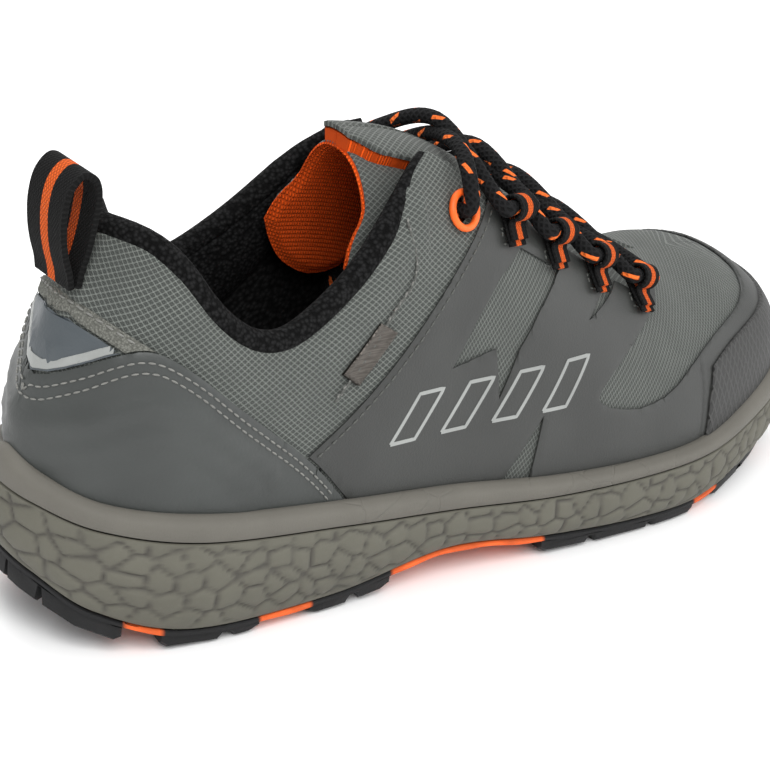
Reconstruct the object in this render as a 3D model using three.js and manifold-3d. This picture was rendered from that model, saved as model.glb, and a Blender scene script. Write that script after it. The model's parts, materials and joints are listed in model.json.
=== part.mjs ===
// A low-cut lace-up trail shoe for the right foot, in millimetres with +Z up.
// X runs from the heel to the toe, -Y is the outer (lateral) side and the ground is Z = 0.
// Every layer of the upper is cut from one dome-shaped surface at its own depth, so layers nest.

import * as THREE from "three";
import { mergeVertices } from "three/addons/utils/BufferGeometryUtils.js";
import Module from "manifold-3d";

const wasm = await Module();
wasm.setup();

// ---- Overall sizes ----
const soleLength = 301;
const soleWidth = 102;
const ankleHeight = 131; // top of the ankle dome that the upper is cut from

// ---- Layer depths, measured outwards from the face of the last ----
const layerGap = 0.4;
const meshThick = 1.2;
const filmThick = 0.8;
const counterThick = 1.5;
const badgeThick = 1.0;
const liningThick = 1.0;
const stiffenerThick = 1.2;
const collarThick = 6.5;
const tongueMeshThick = 1.4;
const tongueFoamThick = 4.1;
const wingThick = 1.8; // the knit that wraps down both sides of the ankle from the tongue
const lipThick = 1.6; // the collar binding where it rolls over the mesh edge

// ---- Sole ----
const cupSink = 6; // how deep the upper sits inside the rim of the midsole
const upperInset = 7; // last face, inside the widest line of the sole
const rimInset = 3; // outer edge of the rim at its top
const rimFloor = 1.5; // the rim piece runs on under the foot at this thickness
const soleGap = 0.3;
const outsoleThick = 1.6; // the orange rubber sheet between midsole and lugs
const treadWidth = 24; // lug pads, from the edge of the sole inwards
const boardThick = 1.5;
const sockThick = 4;

// ---- Laces and loops ----
const laceDiameter = 4.4;
const loopWall = 1.1;
const loopLength = 8; // along the throat
const loopTail = 10; // the flat part tacked down on the film
const eyeletHole = 7.8;
const eyeletWire = 2;
const crossLift = 1.75; // the ridge slopes, so crossing strands ride this much higher
const agletLength = 20;
const agletDiameter = 5;

// ---- Heel pull loop ----
const pullWidth = 16;

// Stations of the sole, drawn for a shoe of the drawn sizes, from the heel round the lateral side:
// x, y of the widest line, then the heights of the rim, the groove, the midsole's foot and the lugs.
const drawnLength = 301;
const drawnWidth = 102;
const drawnAnkle = 131;
const drawnTread = 24;
const footLevel = 30;
const stations = [
  [0, -3.5, 52, 43, 24, 15.5],
  [3, -16, 48.5, 41.5, 21, 12.5],
  [14.5, -31, 44, 38, 13.5, 6],
  [41, -40.5, 39.5, 33, 6, 0],
  [86, -43, 34, 28, 5.5, 0],
  [126, -44.2, 30, 24, 10.5, 3.5],
  [161, -48, 26.5, 21.5, 7.5, 1.2],
  [196, -50.3, 25, 21, 5.5, 0],
  [225, -49.5, 26, 22, 5.5, 0],
  [252, -42, 30, 24.5, 8.5, 2.5],
  [276, -31, 35, 27.5, 12, 6],
  [293, -14, 39, 30, 15, 9.5],
  [301, 9, 41, 31, 16.5, 11],
  [297, 31, 39, 30, 15, 9.5],
  [281, 45.5, 35.5, 27.5, 12, 6],
  [256, 52, 30.5, 24.5, 8.5, 2.5],
  [226, 51, 27, 22, 5.5, 0],
  [196, 46, 26, 21, 5.5, 0],
  [161, 38, 29, 22.5, 8.5, 1.5],
  [126, 34.5, 33, 25, 12, 4.5],
  [86, 33, 36, 28.5, 6.5, 0],
  [41, 31.5, 40, 33, 6, 0],
  [14.5, 21, 44.5, 38, 13.5, 6],
  [3.5, 7, 48.5, 41.5, 21, 12.5],
];
const rimHeight = 2;
const grooveHeight = 3;
const footHeight = 4;
const lugHeight = 5;

// The ridge line of the dome, its sideways place, and how square its cross-sections are.
const ridge = { x: [0, 40, 80, 115, 135, 150, 175, 205, 230, 250, 275, 301],
  z: [131, 131, 131, 126.5, 119, 110.5, 95, 76, 67.5, 66, 61.5, 53.5] };
const spine = { x: [0, 40, 100, 150, 205, 244, 301], y: [-3.5, -3.5, -2, 0, 1, 2, 4] };
const square = { x: [0, 40, 100, 150, 205, 244, 301], n: [2.6, 2.6, 2.5, 2.3, 2.2, 2.2, 2.3] };
const heelPole = 40;
const toePole = 244;
const heelLean = 9; // the back of the heel leans in towards the ankle
const leanFrom = 55;
const leanOver = 45;
const leanReach = 70;

// Outlines of the pieces, in the side view (x, z) or the top view (x, y), in drawn sizes.
const topline = [[-30, 111], [14, 111], [21, 109], [28, 111.5], [35, 105], [43, 92.5], [53, 84.5],
  [61, 82.3], [69, 83.8], [85.5, 94], [98, 105.5], [104, 113], [112, 119], [121, 121.5]];
const throat = [
  [104, 11], [121, 15], [135, 18.5], [150, 22.5], [180, 25.5], [200, 26], [212, 23], [218, 14],
  [219.5, 4],
];
const filmRear = [[74, 49], [85.5, 57], [100, 69.5], [116, 86], [124, 94], [138.5, 107], [146, 116]];
const counterTop = [[-30, 67], [5, 67], [14.5, 76.5], [20.5, 82], [27.5, 84], [34.5, 80], [44, 72],
  [53, 64.5], [74, 48.5], [89, 32]];
const windowUpper = [[147.5, 92.5], [163, 84], [153.5, 76], [145, 66], [139, 53], [136.5, 68], [121, 65],
  [129, 77], [137.5, 86.5]];
const windowSlit = [[189.5, 79], [195.5, 75], [173.5, 69]];
const windowLower = [[156, 45.5], [139, 20], [153.5, 20]];
const vampWindow = [
  [221, 74], [214.5, 65], [198.5, 61.5], [185.5, 55], [176, 47.5], [180, 43.5], [192, 40.5],
  [199, 40.5], [208.5, 42], [222, 48.5], [239.5, 53], [258, 56], [268, 60], [269, 76],
];
const toePatch = [[224.5, 10], [227, 44], [237, 47.5], [248, 50], [270, 52], [320, 53], [320, 10]];
const plaque = [[93.5, 82.3], [99.5, 78.7], [87.5, 66.5], [82, 70.5]];
const trimLine = [[-30, 95.5], [11, 95.5], [19, 90], [27.5, 84]];
const trimWidth = 5;
const badgeTop = [[-30, 89.5], [10, 89.5], [19, 84.5], [20.5, 83]];
const filmSplit = 224;
const puffStart = 262;
const collarDepth = 30;
const collarRoll = 3.5;
const collarEnd = 116;
const tongueHalf = {
  x: [98, 104, 110, 121, 130, 140, 160, 200, 214],
  y: [9, 12, 13, 14, 14.8, 18, 23.5, 24, 19],
};
const tongueWing = [
  [91, 102], [94, 109], [100, 114.5], [107, 117], [124, 116], [133, 108], [130, 95], [126, 82],
  [110, 83], [98, 92],
];
const tongueEdge = [[80, 100], [126, 100], [150, 88], [175, 72], [200, 57], [230, 48]];

// Lace rows from the ankle to the toe: station along the shoe and how high round the section.
const rows = [
  { x: 144, lateral: 1.0, medial: 0.95 },
  { x: 161.5, lateral: 1.0, medial: 0.97 },
  { x: 180, lateral: 1.0, medial: 1.0 },
  { x: 201, lateral: 1.03, medial: 1.03 },
];
const eyelet = { x: 125.5, lateral: 0.92, medial: 0.77 };
const turnOf = (row, side) => (side < 0 ? row.lateral : row.medial);

// Lace tails inside the shoe: distance ahead of the eyelet, how high round the section, depth.
const lateralTail = [[-1, 0.66, -6.2], [-1, 0.52, -6.4], [-2, 0.38, -6.8]];
const medialTail = [[-1, 0.54, -6.2], [-1, 0.43, -6.4], [-2, 0.32, -6.8]];

// Side view of the pull loop's ribbon: distance from the heel face, and height.
const pullFoot = 97;
const pullOuter = [[-0.8, 96], [0, 101], [1.4, 106], [2.6, 113], [2.8, 121.4], [1, 125.6], [-2.8, 127],
  [-6.8, 123.6], [-8.4, 117], [-8, 109], [-5.4, 101], [-4.6, 96]];
const pullInner = [
  [-2.6, 101.4], [-5.9, 109.6], [-6.3, 117], [-5, 122.5], [-2.6, 124.8], [-0.4, 123.8],
  [0.7, 121], [0.5, 113.5], [-0.6, 106.8],
];

// ---- Numbers that follow from the sizes ----
const along = (x) => (x * soleLength) / drawnLength;
const across = (y) => (y * soleWidth) / drawnWidth;
const stretch = (ankleHeight - footLevel) / (drawnAnkle - footLevel);
const up = (z) => (z <= footLevel ? z : footLevel + (z - footLevel) * stretch);
const meshOut = meshThick;
const overIn = meshOut + layerGap; // inner face of everything laid on the mesh
const filmOut = overIn + filmThick;
const counterOut = overIn + counterThick;
const stiffOut = -layerGap;
const stiffIn = stiffOut - stiffenerThick;
const liningOut = stiffIn - layerGap;
const liningIn = liningOut - liningThick;
const tongueOut = liningIn - layerGap;
const tongueMid = tongueOut - tongueMeshThick;
const foamOut = tongueMid - layerGap;
const foamIn = foamOut - tongueFoamThick;
const wingOut = foamIn + 0.2; // it overlaps the foam that it is joined to
const wingIn = wingOut - wingThick;
const rimWall = upperInset - meshOut - layerGap; // inner face of the rim
const laceRadius = laceDiameter / 2;

// ---- Curves ----
// Closed smooth curve through the stations; t counts stations.
function station(t, column) {
  const count = stations.length;
  const turn = ((t % count) + count) % count;
  const i = Math.floor(turn);
  const f = turn - i;
  const p = [-1, 0, 1, 2].map((k) => stations[(i + k + count) % count][column]);
  const cubic = -p[0] + 3 * p[1] - 3 * p[2] + p[3];
  const square2 = 2 * p[0] - 5 * p[1] + 4 * p[2] - p[3];
  return 0.5 * (2 * p[1] + (p[2] - p[0]) * f + square2 * f * f + cubic * f * f * f);
}

// Open smooth curve through a table, held at its end values.
function follow(xs, ys, x) {
  const last = xs.length - 1;
  const at = Math.min(Math.max(x, xs[0]), xs[last]);
  let i = 0;
  while (i < last - 1 && at > xs[i + 1]) i += 1;
  const slope = (k) => (ys[k + 1] - ys[k]) / (xs[k + 1] - xs[k]);
  const tangent = (k) => (k === 0 ? slope(0) : k === last ? slope(last - 1) : (slope(k - 1) + slope(k)) / 2);
  const w = xs[i + 1] - xs[i];
  const f = (at - xs[i]) / w;
  const rise = ys[i + 1] - ys[i];
  const a = tangent(i) * w - rise;
  const b = rise - tangent(i + 1) * w;
  return ys[i] + rise * f + f * (1 - f) * (a * (1 - f) + b * f);
}

const ridgeAt = (x) => up(follow(ridge.x, ridge.z, x / along(1)));
const spineAt = (x) => across(follow(spine.x, spine.y, x / along(1)));
const squareAt = (x) => follow(square.x, square.n, x / along(1));
const rimAt = (t) => station(t, rimHeight);
const lugFloor = (t) => Math.max(station(t, lugHeight), 0);

// A point of the sole's widest line, moved inwards: square to the line as far as the upper,
// and from there straight towards the middle of the foot.
function outline(t, inset = 0) {
  const step = 0.001;
  const dx = along(station(t + step, 0) - station(t - step, 0));
  const dy = across(station(t + step, 1) - station(t - step, 1));
  const size = Math.hypot(dx, dy);
  const near = Math.min(inset, upperInset);
  const x = along(station(t, 0)) - (near * dy) / size;
  const y = across(station(t, 1)) + (near * dx) / size;
  if (inset <= upperInset) return [x, y];
  const cx = Math.min(Math.max(x, along(heelPole)), along(toePole));
  const cy = spineAt(cx);
  const rest = (inset - upperInset) / Math.hypot(x - cx, y - cy);
  return [x + (cx - x) * rest, y + (cy - y) * rest];
}

// A point of the dome: t goes round the foot, angle climbs from the sole (0) to the ridge (half pi).
function dome(t, angle, depth) {
  const [fx, fy] = outline(t, upperInset);
  const floor = rimAt(t) - cupSink;
  const cx = Math.min(Math.max(fx, along(heelPole)), along(toePole));
  const cy = spineAt(cx);
  const reach = Math.hypot(fx - cx, fy - cy);
  const power = 2 / squareAt(fx);
  const top = angle >= Math.PI / 2 - 1e-9;
  const inward = top ? 0 : Math.cos(angle) ** power;
  const climb = top ? 1 : Math.sin(angle) ** power;
  const run = ((reach + depth) * inward) / reach;
  const x = cx + (fx - cx) * run;
  const y = cy + (fy - cy) * run;
  const z = floor + (ridgeAt(x) + depth - floor) * climb;
  const high = Math.min(Math.max((z - up(leanFrom)) / leanOver, 0), 2);
  const back = Math.max(1 - x / along(leanReach), 0);
  return new THREE.Vector3(x + heelLean * high ** 1.3 * back, y, z);
}

// The station on one side (-1 lateral, 1 medial) whose foot point lies at a length x.
function stationAt(side, x) {
  let low = 0.5;
  let high = 12;
  for (let i = 0; i < 40; i += 1) {
    const mid = (low + high) / 2;
    if (outline(-side * mid, upperInset)[0] < x) low = mid;
    else high = mid;
  }
  return (-side * (low + high)) / 2;
}

// Outward direction of the dome at a place, and the direction along the shoe.
function frameAt(t, angle, side) {
  const e = 0.02;
  const round = dome(t + e, angle, 0).sub(dome(t - e, angle, 0)).multiplyScalar(-side);
  const rise = dome(t, angle + e, 0).sub(dome(t, angle - e, 0)).normalize();
  const out = round.cross(rise).multiplyScalar(-side).normalize();
  return { ahead: rise.clone().cross(out).multiplyScalar(-side), rise, out };
}

// ---- Solids ----
function solid(geometry) {
  const bare = geometry.index ? geometry.toNonIndexed() : geometry.clone();
  for (const name of Object.keys(bare.attributes)) if (name !== "position") bare.deleteAttribute(name);
  const merged = mergeVertices(bare, 1e-4);
  const kept = [];
  const index = merged.index.array;
  for (let i = 0; i < index.length; i += 3) {
    const [a, b, c] = [index[i], index[i + 1], index[i + 2]];
    if (a !== b && b !== c && c !== a) kept.push(a, b, c);
  }
  const build = (tri) => new wasm.Manifold(new wasm.Mesh({ numProp: 3,
    vertProperties: merged.attributes.position.array, triVerts: new Uint32Array(tri) }));
  const made = build(kept);
  if (made.volume() > 0) return made;
  const turned = [];
  for (let i = 0; i < kept.length; i += 3) turned.push(kept[i], kept[i + 2], kept[i + 1]);
  return build(turned);
}

// Triangles of a grid of points, as a flat list of corner positions. Each cell is split from its
// outer corner to the next column's inner corner, so that surfaces which nest are split alike.
const reachOf = (p) => Math.hypot(p.x - Math.min(Math.max(p.x, along(heelPole)), along(toePole)), p.y);
function quads(grid, out, wrap = false) {
  const columns = wrap ? grid.length : grid.length - 1;
  for (let i = 0; i < columns; i += 1) {
    const here = grid[i];
    const next = grid[(i + 1) % grid.length];
    for (let j = 0; j < here.length - 1; j += 1) {
      if (reachOf(here[j]) < reachOf(here[j + 1]) - 0.5) {
        out.push(here[j], next[j], here[j + 1], next[j], next[j + 1], here[j + 1]);
      } else {
        out.push(here[j], next[j], next[j + 1], here[j], next[j + 1], here[j + 1]);
      }
    }
  }
}

function fromCorners(corners) {
  return solid(new THREE.BufferGeometry().setFromPoints(corners));
}

// A closed solid between an outer and an inner grid of the same shape.
function between(outer, inner, wrap = false) {
  const corners = [];
  quads(outer, corners, wrap);
  quads(inner.map((column) => [...column]), corners, wrap);
  const half = corners.length / 2;
  for (let i = half; i < corners.length; i += 3) {
    [corners[i + 1], corners[i + 2]] = [corners[i + 2], corners[i + 1]];
  }
  const last = outer[0].length - 1;
  quads(outer.map((column, i) => [inner[i][0], column[0]]), corners, wrap);
  quads(outer.map((column, i) => [column[last], inner[i][last]]), corners, wrap);
  if (!wrap) {
    const end = outer.length - 1;
    quads([inner[0], outer[0]], corners);
    quads([outer[end], inner[end]], corners);
  }
  return fromCorners(corners);
}

// A closed solid from loops of equal count; the first and last loops are capped.
function lofted(loops) {
  const corners = [];
  const rings = loops.map((loop) => loop.map((p) => new THREE.Vector3(...p)));
  const columns = rings[0].map((_, i) => rings.map((ring) => ring[i]));
  quads(columns, corners, true);
  const cap = (ring, flip) => {
    const flat = ring.map((p) => new THREE.Vector2(p.x, p.y));
    for (const [a, b, c] of THREE.ShapeUtils.triangulateShape(flat, [])) {
      if (flip) corners.push(ring[a], ring[c], ring[b]);
      else corners.push(ring[a], ring[b], ring[c]);
    }
  };
  cap(rings[0], true);
  cap(rings[rings.length - 1], false);
  const wrong = THREE.ShapeUtils.area(rings[0].map((p) => new THREE.Vector2(p.x, p.y))) < 0;
  if (wrong) {
    const side = rings[0].length * (rings.length - 1) * 6;
    for (let i = side; i < corners.length; i += 3) {
      [corners[i + 1], corners[i + 2]] = [corners[i + 2], corners[i + 1]];
    }
  }
  return fromCorners(corners);
}

// A wall standing on an outline of the side view, between two sideways planes.
function sideWall(points, y0 = -200, y1 = 200) {
  const shape = new THREE.Shape(points.map(([x, z]) => new THREE.Vector2(along(x), up(z))));
  const block = new THREE.ExtrudeGeometry(shape, { depth: y1 - y0, bevelEnabled: false });
  return solid(block.rotateX(Math.PI / 2).translate(0, y1, 0));
}

// A wall standing on an outline of the top view, above a level.
function topWall(points, level) {
  const shape = new THREE.Shape(points.map(([x, y]) => new THREE.Vector2(along(x), across(y))));
  const block = new THREE.ExtrudeGeometry(shape, { depth: 300, bevelEnabled: false });
  return solid(block.translate(0, 0, level));
}

const shifted = (points, dx, dz) => points.map(([x, z]) => [x + dx, z + dz]);
const above = (points) => [...points, [points[points.length - 1][0], 250], [points[0][0], 250]];
const below = (points) => [...points, [points[points.length - 1][0], -50], [points[0][0], -50]];

// ---- The dome as nested shells ----
const heelColumns = 9;
const midColumns = 11;
const toeColumns = 10;
const domeRows = 7;

function roundTheFoot() {
  const list = [];
  const heelLateral = stationAt(-1, along(heelPole));
  const heelMedial = stationAt(1, along(heelPole));
  const toeLateral = stationAt(-1, along(toePole));
  const toeMedial = stationAt(1, along(toePole)) + stations.length;
  const middle = [];
  for (let i = 1; i < midColumns; i += 1) {
    middle.push(along(heelPole) + ((along(toePole) - along(heelPole)) * i) / midColumns);
  }
  for (let i = 0; i < heelColumns; i += 1) {
    list.push(heelMedial + ((heelLateral - heelMedial) * i) / heelColumns);
  }
  list.push(heelLateral);
  for (const x of middle) list.push(stationAt(-1, x));
  for (let i = 0; i <= toeColumns; i += 1) {
    list.push(toeLateral + ((toeMedial - toeLateral) * i) / toeColumns);
  }
  for (const x of middle.reverse()) list.push(stationAt(1, x));
  return list;
}
const ring = roundTheFoot();

const shells = new Map();
function shell(inside, outside) {
  const key = `${inside}/${outside}`;
  if (!shells.has(key)) {
    const grid = (depth) => ring.map((t) => {
      const column = [];
      for (let j = 0; j <= domeRows; j += 1) column.push(dome(t, (Math.PI / 2) * (j / domeRows), depth));
      return column;
    });
    const corners = [];
    const outer = grid(outside);
    const inner = grid(inside);
    quads(outer, corners, true);
    const half = corners.length;
    quads(inner, corners, true);
    for (let i = half; i < corners.length; i += 3) {
      [corners[i + 1], corners[i + 2]] = [corners[i + 2], corners[i + 1]];
    }
    quads(outer.map((column, i) => [inner[i][0], column[0]]), corners, true);
    shells.set(key, fromCorners(corners));
  }
  return shells.get(key);
}

const soleLoop = (inset, height) => ring.map((t) => {
  const from = typeof inset === "function" ? inset(t) : inset;
  return [...outline(t, from), height(t)];
});

// Cutting tools shared by the pieces of the upper.
const openTop = sideWall(above([...topline, [135, 121.5]]));
const throatLoop = (grow) => {
  const half = throat.map(([x, y]) => [x + (x > 215 ? grow : 0), y + grow]);
  const mid = (x) => follow(spine.x, spine.y, x);
  return [...half.map(([x, y]) => [x, mid(x) - y]), ...half.reverse().map(([x, y]) => [x, mid(x) + y])];
};
const throatCut = topWall(throatLoop(0), 40);
const overRim = (t) => rimAt(t) + soleGap;
const belowRim = lofted([soleLoop(-20, () => -30), soleLoop(-20, overRim), soleLoop(rimInset, overRim),
  soleLoop(rimWall, overRim), soleLoop(18, overRim)]);
const lateralSide = topWall([[-50, -150], [350, -150], [350, 4], [200, 1], [100, -2], [-50, -3.5]], -50);
const medialSide = topWall([[-50, -3.2], [100, -1.7], [200, 1.3], [350, 4.3], [350, 150], [-50, 150]], -50);

const group = new THREE.Group();
function place(name, made, colour, roughness = 0.8, metalness = 0) {
  const mesh = made.getMesh();
  const geometry = new THREE.BufferGeometry();
  geometry.setAttribute("position", new THREE.BufferAttribute(new Float32Array(mesh.vertProperties), 3));
  geometry.setIndex(new THREE.BufferAttribute(new Uint32Array(mesh.triVerts), 1));
  const material = new THREE.MeshStandardMaterial({ color: colour, roughness, metalness });
  const node = new THREE.Mesh(geometry, material);
  node.name = name;
  group.add(node);
}
const tidy = (made) => made.simplify(0.06);
const biggest = (made) => made.decompose().sort((a, b) => b.volume() - a.volume())[0];

// ---- Sole ----
function midsole() {
  const floor = (t) => rimAt(t) - cupSink - 2 * soleGap;
  const bed = (t) => floor(t) - rimFloor;
  const groove = (t) => station(t, grooveHeight);
  const foot = (t) => station(t, footHeight);
  const lower = lofted([
    soleLoop(18, foot),
    soleLoop(2, foot),
    soleLoop(-0.6, (t) => (foot(t) + groove(t)) / 2),
    soleLoop(0.4, (t) => groove(t) - soleGap),
    soleLoop(rimWall - 1, (t) => bed(t) - soleGap),
    soleLoop(18, (t) => bed(t) - soleGap),
  ]);
  const upper = lofted([
    soleLoop(18, bed),
    soleLoop(rimWall - 1, bed),
    soleLoop(0.4, groove),
    soleLoop(1, (t) => (groove(t) + rimAt(t)) / 2),
    soleLoop(rimInset, rimAt),
    soleLoop(rimWall, rimAt),
    soleLoop(rimWall, floor),
    soleLoop(18, floor),
  ]);
  place("midsole_lower", lower, "#6b675a");
  place("midsole_rim", upper, "#77736a");
}

const sheetTop = (t) => station(t, footHeight) - soleGap;
const sheetFoot = (t) => sheetTop(t) - outsoleThick;

function outsoleSheet() {
  place("outsole_sheet", lofted([soleLoop(18, sheetFoot), soleLoop(3, sheetFoot), soleLoop(2.5, sheetTop),
    soleLoop(18, sheetTop)]), "#d9622b");
}

const padRoof = (t) => sheetFoot(t) - soleGap;
const overPads = lofted([soleLoop(18, padRoof), soleLoop(3, padRoof), soleLoop(-6, padRoof),
  soleLoop(-6, () => 90), soleLoop(18, () => 90)]);

// A black pad of lugs along the edge of the sole from one station to another, with notches between lugs.
function lugPad(name, from, to, notches) {
  const edge = 0.07;
  const places = [[from, 1], [from + edge, 0]];
  for (const at of notches) {
    places.push([at - edge, 0], [at - edge / 2, 2], [at + edge / 2, 2], [at + edge, 0]);
  }
  places.push([to - edge, 0], [to, 1]);
  const full = [];
  places.forEach(([t, kind], i) => {
    full.push([t, kind]);
    const next = places[i + 1];
    if (next && next[0] - t > 0.4) full.push([(t + next[0]) / 2, 0]);
  });
  const top = (t) => sheetFoot(t) + 4;
  const foot = (t, kind) => (kind === 2 ? sheetFoot(t) - 1.8 : kind === 1 ? lugFloor(t) + 1.2 : lugFloor(t));
  const insets = [2.6, 4.2, treadWidth];
  const grid = (height) => full.map(([t, kind]) => insets.map((inset, i) => {
    const z = height(t, kind);
    return new THREE.Vector3(...outline(t, inset), i === 0 && height === foot ? z + 1.2 : z);
  }));
  const block = between(grid((t) => top(t)), grid(foot));
  place(name, tidy(biggest(block.subtract(overPads))), "#1c1c1e", 0.7);
}

function lugPads() {
  lugPad("lugs_heel_rear", -1.95, 2.35, [-1.2, -0.4, 0.4, 1.2]);
  lugPad("lugs_heel_lateral", 2.75, 3.5, [3.28]);
  lugPad("lugs_heel_front_lateral", 3.85, 4.5, [4.2]);
  lugPad("lugs_heel_medial", -3.5, -2.55, [-3.0]);
  lugPad("lugs_heel_front_medial", -4.5, -3.85, [-4.2]);
  lugPad("lugs_ball_lateral", 6.0, 8.0, [6.55, 7.3]);
  lugPad("lugs_ball_medial", -8.2, -6.0, [-6.7, -7.45]);
  lugPad("lugs_toe_lateral", 8.45, 9.9, [9.15]);
  lugPad("lugs_toe_medial", -9.9, -8.6, [-9.25]);
  lugPad("lugs_toe_tip", 10.35, 13.6, [11.1, 11.9, 12.8]);
}

// The two pads under the middle of the heel and of the ball, flat on the ground.
function centrePads() {
  const pad = (name, middle, span, points) => {
    const room = (across(span) - 2 * treadWidth) / (span - 2 * drawnTread);
    const flat = points.map(([x, y]) => [along(x), across(middle) + (y - middle) * room]);
    const block = lofted([flat.map(([x, y]) => [x, y, 0]), flat.map(([x, y]) => [x, y, 30])]);
    place(name, tidy(biggest(block.subtract(overPads))), "#1c1c1e", 0.7);
  };
  pad("lugs_heel_centre", -4.5, 76, [[46, -13], [84, -15], [88, -5], [84, 6], [46, 4], [42, -5]]);
  pad("lugs_ball_centre", 0, 97, [[192, -20], [222, -20], [228, 1], [222, 22], [192, 17], [186, -1]]);
}

// ---- Inside the shoe ----
function insoles() {
  const inset = upperInset - liningIn + layerGap;
  const foot = (t) => rimAt(t) - cupSink + 0.1;
  const slab = (rise, thick, extra) => lofted([
    soleLoop(18, (t) => foot(t) + rise),
    soleLoop(inset + extra, (t) => foot(t) + rise),
    soleLoop(inset + extra, (t) => foot(t) + rise + thick),
    soleLoop(18, (t) => foot(t) + rise + thick),
  ]);
  place("insole_board", slab(0, boardThick, 0), "#cfc8b4");
  place("sockliner", slab(boardThick + layerGap, sockThick, 1.4), "#202022");
}

function lining() {
  const band = sideWall(above([...shifted(topline, 0, -collarDepth - 1), [135, 90]]));
  const keep = sideWall([[118, -50], [400, -50], [400, 250], [118, 250]]);
  const collarZone = band.subtract(keep);
  const made = shell(liningIn, liningOut).subtract(openTop).subtract(collarZone).subtract(throatCut)
    .subtract(eyeletHoles());
  place("bootie_lining", tidy(biggest(made)), "#1a1a1b", 0.95);
}

function stiffeners() {
  const layer = shell(stiffIn, stiffOut);
  const heel = sideWall(below([[-30, 76], [12, 76], [28, 66], [45, 54], [60, 45], [72, 38]]));
  place("heel_stiffener", tidy(biggest(layer.intersect(heel))), "#d8d5cc");
  const toe = sideWall([[puffStart, -50], [400, -50], [400, 250], [puffStart, 250]]);
  place("toe_puff", tidy(biggest(layer.intersect(toe))), "#d8d5cc");
}

// ---- Upper ----
function eyeletAt(side) {
  const t = stationAt(side, along(eyelet.x));
  const from = dome(t, turnOf(eyelet, side), meshOut);
  return { centre: from, ...frameAt(t, turnOf(eyelet, side), side) };
}

function eyeletHoles(radius = eyeletHole / 2) {
  const holes = [-1, 1].map((side) => {
    const { centre, out } = eyeletAt(side);
    const turn = new THREE.Quaternion().setFromUnitVectors(new THREE.Vector3(0, 1, 0), out);
    const drill = new THREE.CylinderGeometry(radius, radius, 24, 14);
    return solid(drill.applyQuaternion(turn).translate(centre.x, centre.y, centre.z));
  });
  return holes[0].add(holes[1]);
}

const seamShift = 5;
const seamLine = [[79, -50], [79, 30], ...shifted(filmRear, seamShift, 0), [170, 250]];

function quarters() {
  const behind = sideWall([...seamLine, [-50, 250], [-50, -50]]);
  const made = shell(0, meshOut).subtract(openTop).subtract(throatCut).intersect(behind)
    .subtract(eyeletHoles());
  place("quarter_mesh_lateral", tidy(biggest(made.intersect(lateralSide))), "#6e716b", 0.9);
  place("quarter_mesh_medial", tidy(biggest(made.intersect(medialSide))), "#6e716b", 0.9);
}

function vamp() {
  const ahead = sideWall([...shifted(seamLine, layerGap, 0), [400, 250], [400, -50]]);
  const made = shell(0, meshOut).subtract(throatCut).intersect(ahead).subtract(eyeletHoles());
  place("vamp_mesh", tidy(biggest(made)), "#7a7b78", 0.9);
}

function films() {
  const sheet = shell(overIn, filmOut).subtract(belowRim).subtract(throatCut);
  const behindLine = sideWall([[60, -50], [60, 38], ...filmRear, [170, 250], [-50, 250], [-50, -50]]);
  let sides = sheet.subtract(behindLine);
  for (const gap of [windowUpper, windowSlit, windowLower, vampWindow]) {
    sides = sides.subtract(sideWall(gap));
  }
  sides = sides.subtract(sideWall(below(shifted(counterTop, 1.2, 0))));
  sides = sides.subtract(eyeletHoles(eyeletHole / 2 + eyeletWire + layerGap));
  const rear = sideWall([[-50, -50], [filmSplit, -50], [filmSplit, 250], [-50, 250]]);
  const front = sideWall([[filmSplit + layerGap, -50], [400, -50], [400, 250], [filmSplit + layerGap, 250]]);
  place("film_lateral", tidy(biggest(sides.intersect(rear).intersect(lateralSide))), "#4b4c47", 0.55);
  place("film_medial", tidy(biggest(sides.intersect(rear).intersect(medialSide))), "#4b4c47", 0.55);
  place("toe_cap", tidy(biggest(sides.intersect(front))), "#4b4c47", 0.55);
  const patchIn = filmOut + layerGap;
  const patch = shell(patchIn, patchIn + filmThick).subtract(belowRim).intersect(sideWall(toePatch));
  place("toe_bumper", tidy(biggest(patch)), "#3b3c3a", 0.8);
}

function heelPieces() {
  const layer = shell(overIn, counterOut).subtract(belowRim);
  place("heel_counter", tidy(biggest(layer.intersect(sideWall(below(counterTop))))), "#464943", 0.6);
  const overCounter = shell(overIn, overIn + badgeThick);
  const badgeFoot = shifted(counterTop.slice(0, 5), -0.3, 0.5);
  const badgeZone = sideWall(below(badgeTop)).subtract(sideWall(below(badgeFoot)));
  const limit = sideWall([[-50, 40], [20.5, 40], [20.5, 120], [-50, 120]]);
  place("heel_badge", tidy(biggest(overCounter.intersect(badgeZone).intersect(limit))), "#5d6468", 0.5);
  const strip = sideWall(below(trimLine)).subtract(sideWall(below(shifted(trimLine, 0, -trimWidth))));
  place("heel_trim", tidy(biggest(shell(overIn, overIn + filmThick).intersect(strip)
    .subtract(sideWall(below(shifted(counterTop, 0, 0.4))))
    .subtract(sideWall(below(shifted(badgeTop, 0, 0.4)))))),
  "#a9a79c", 0.8);
  const tag = shell(overIn, counterOut).intersect(sideWall(plaque)).intersect(lateralSide);
  place("side_plaque", tidy(biggest(tag)), "#6a6258", 0.35, 0.6);
}

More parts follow.
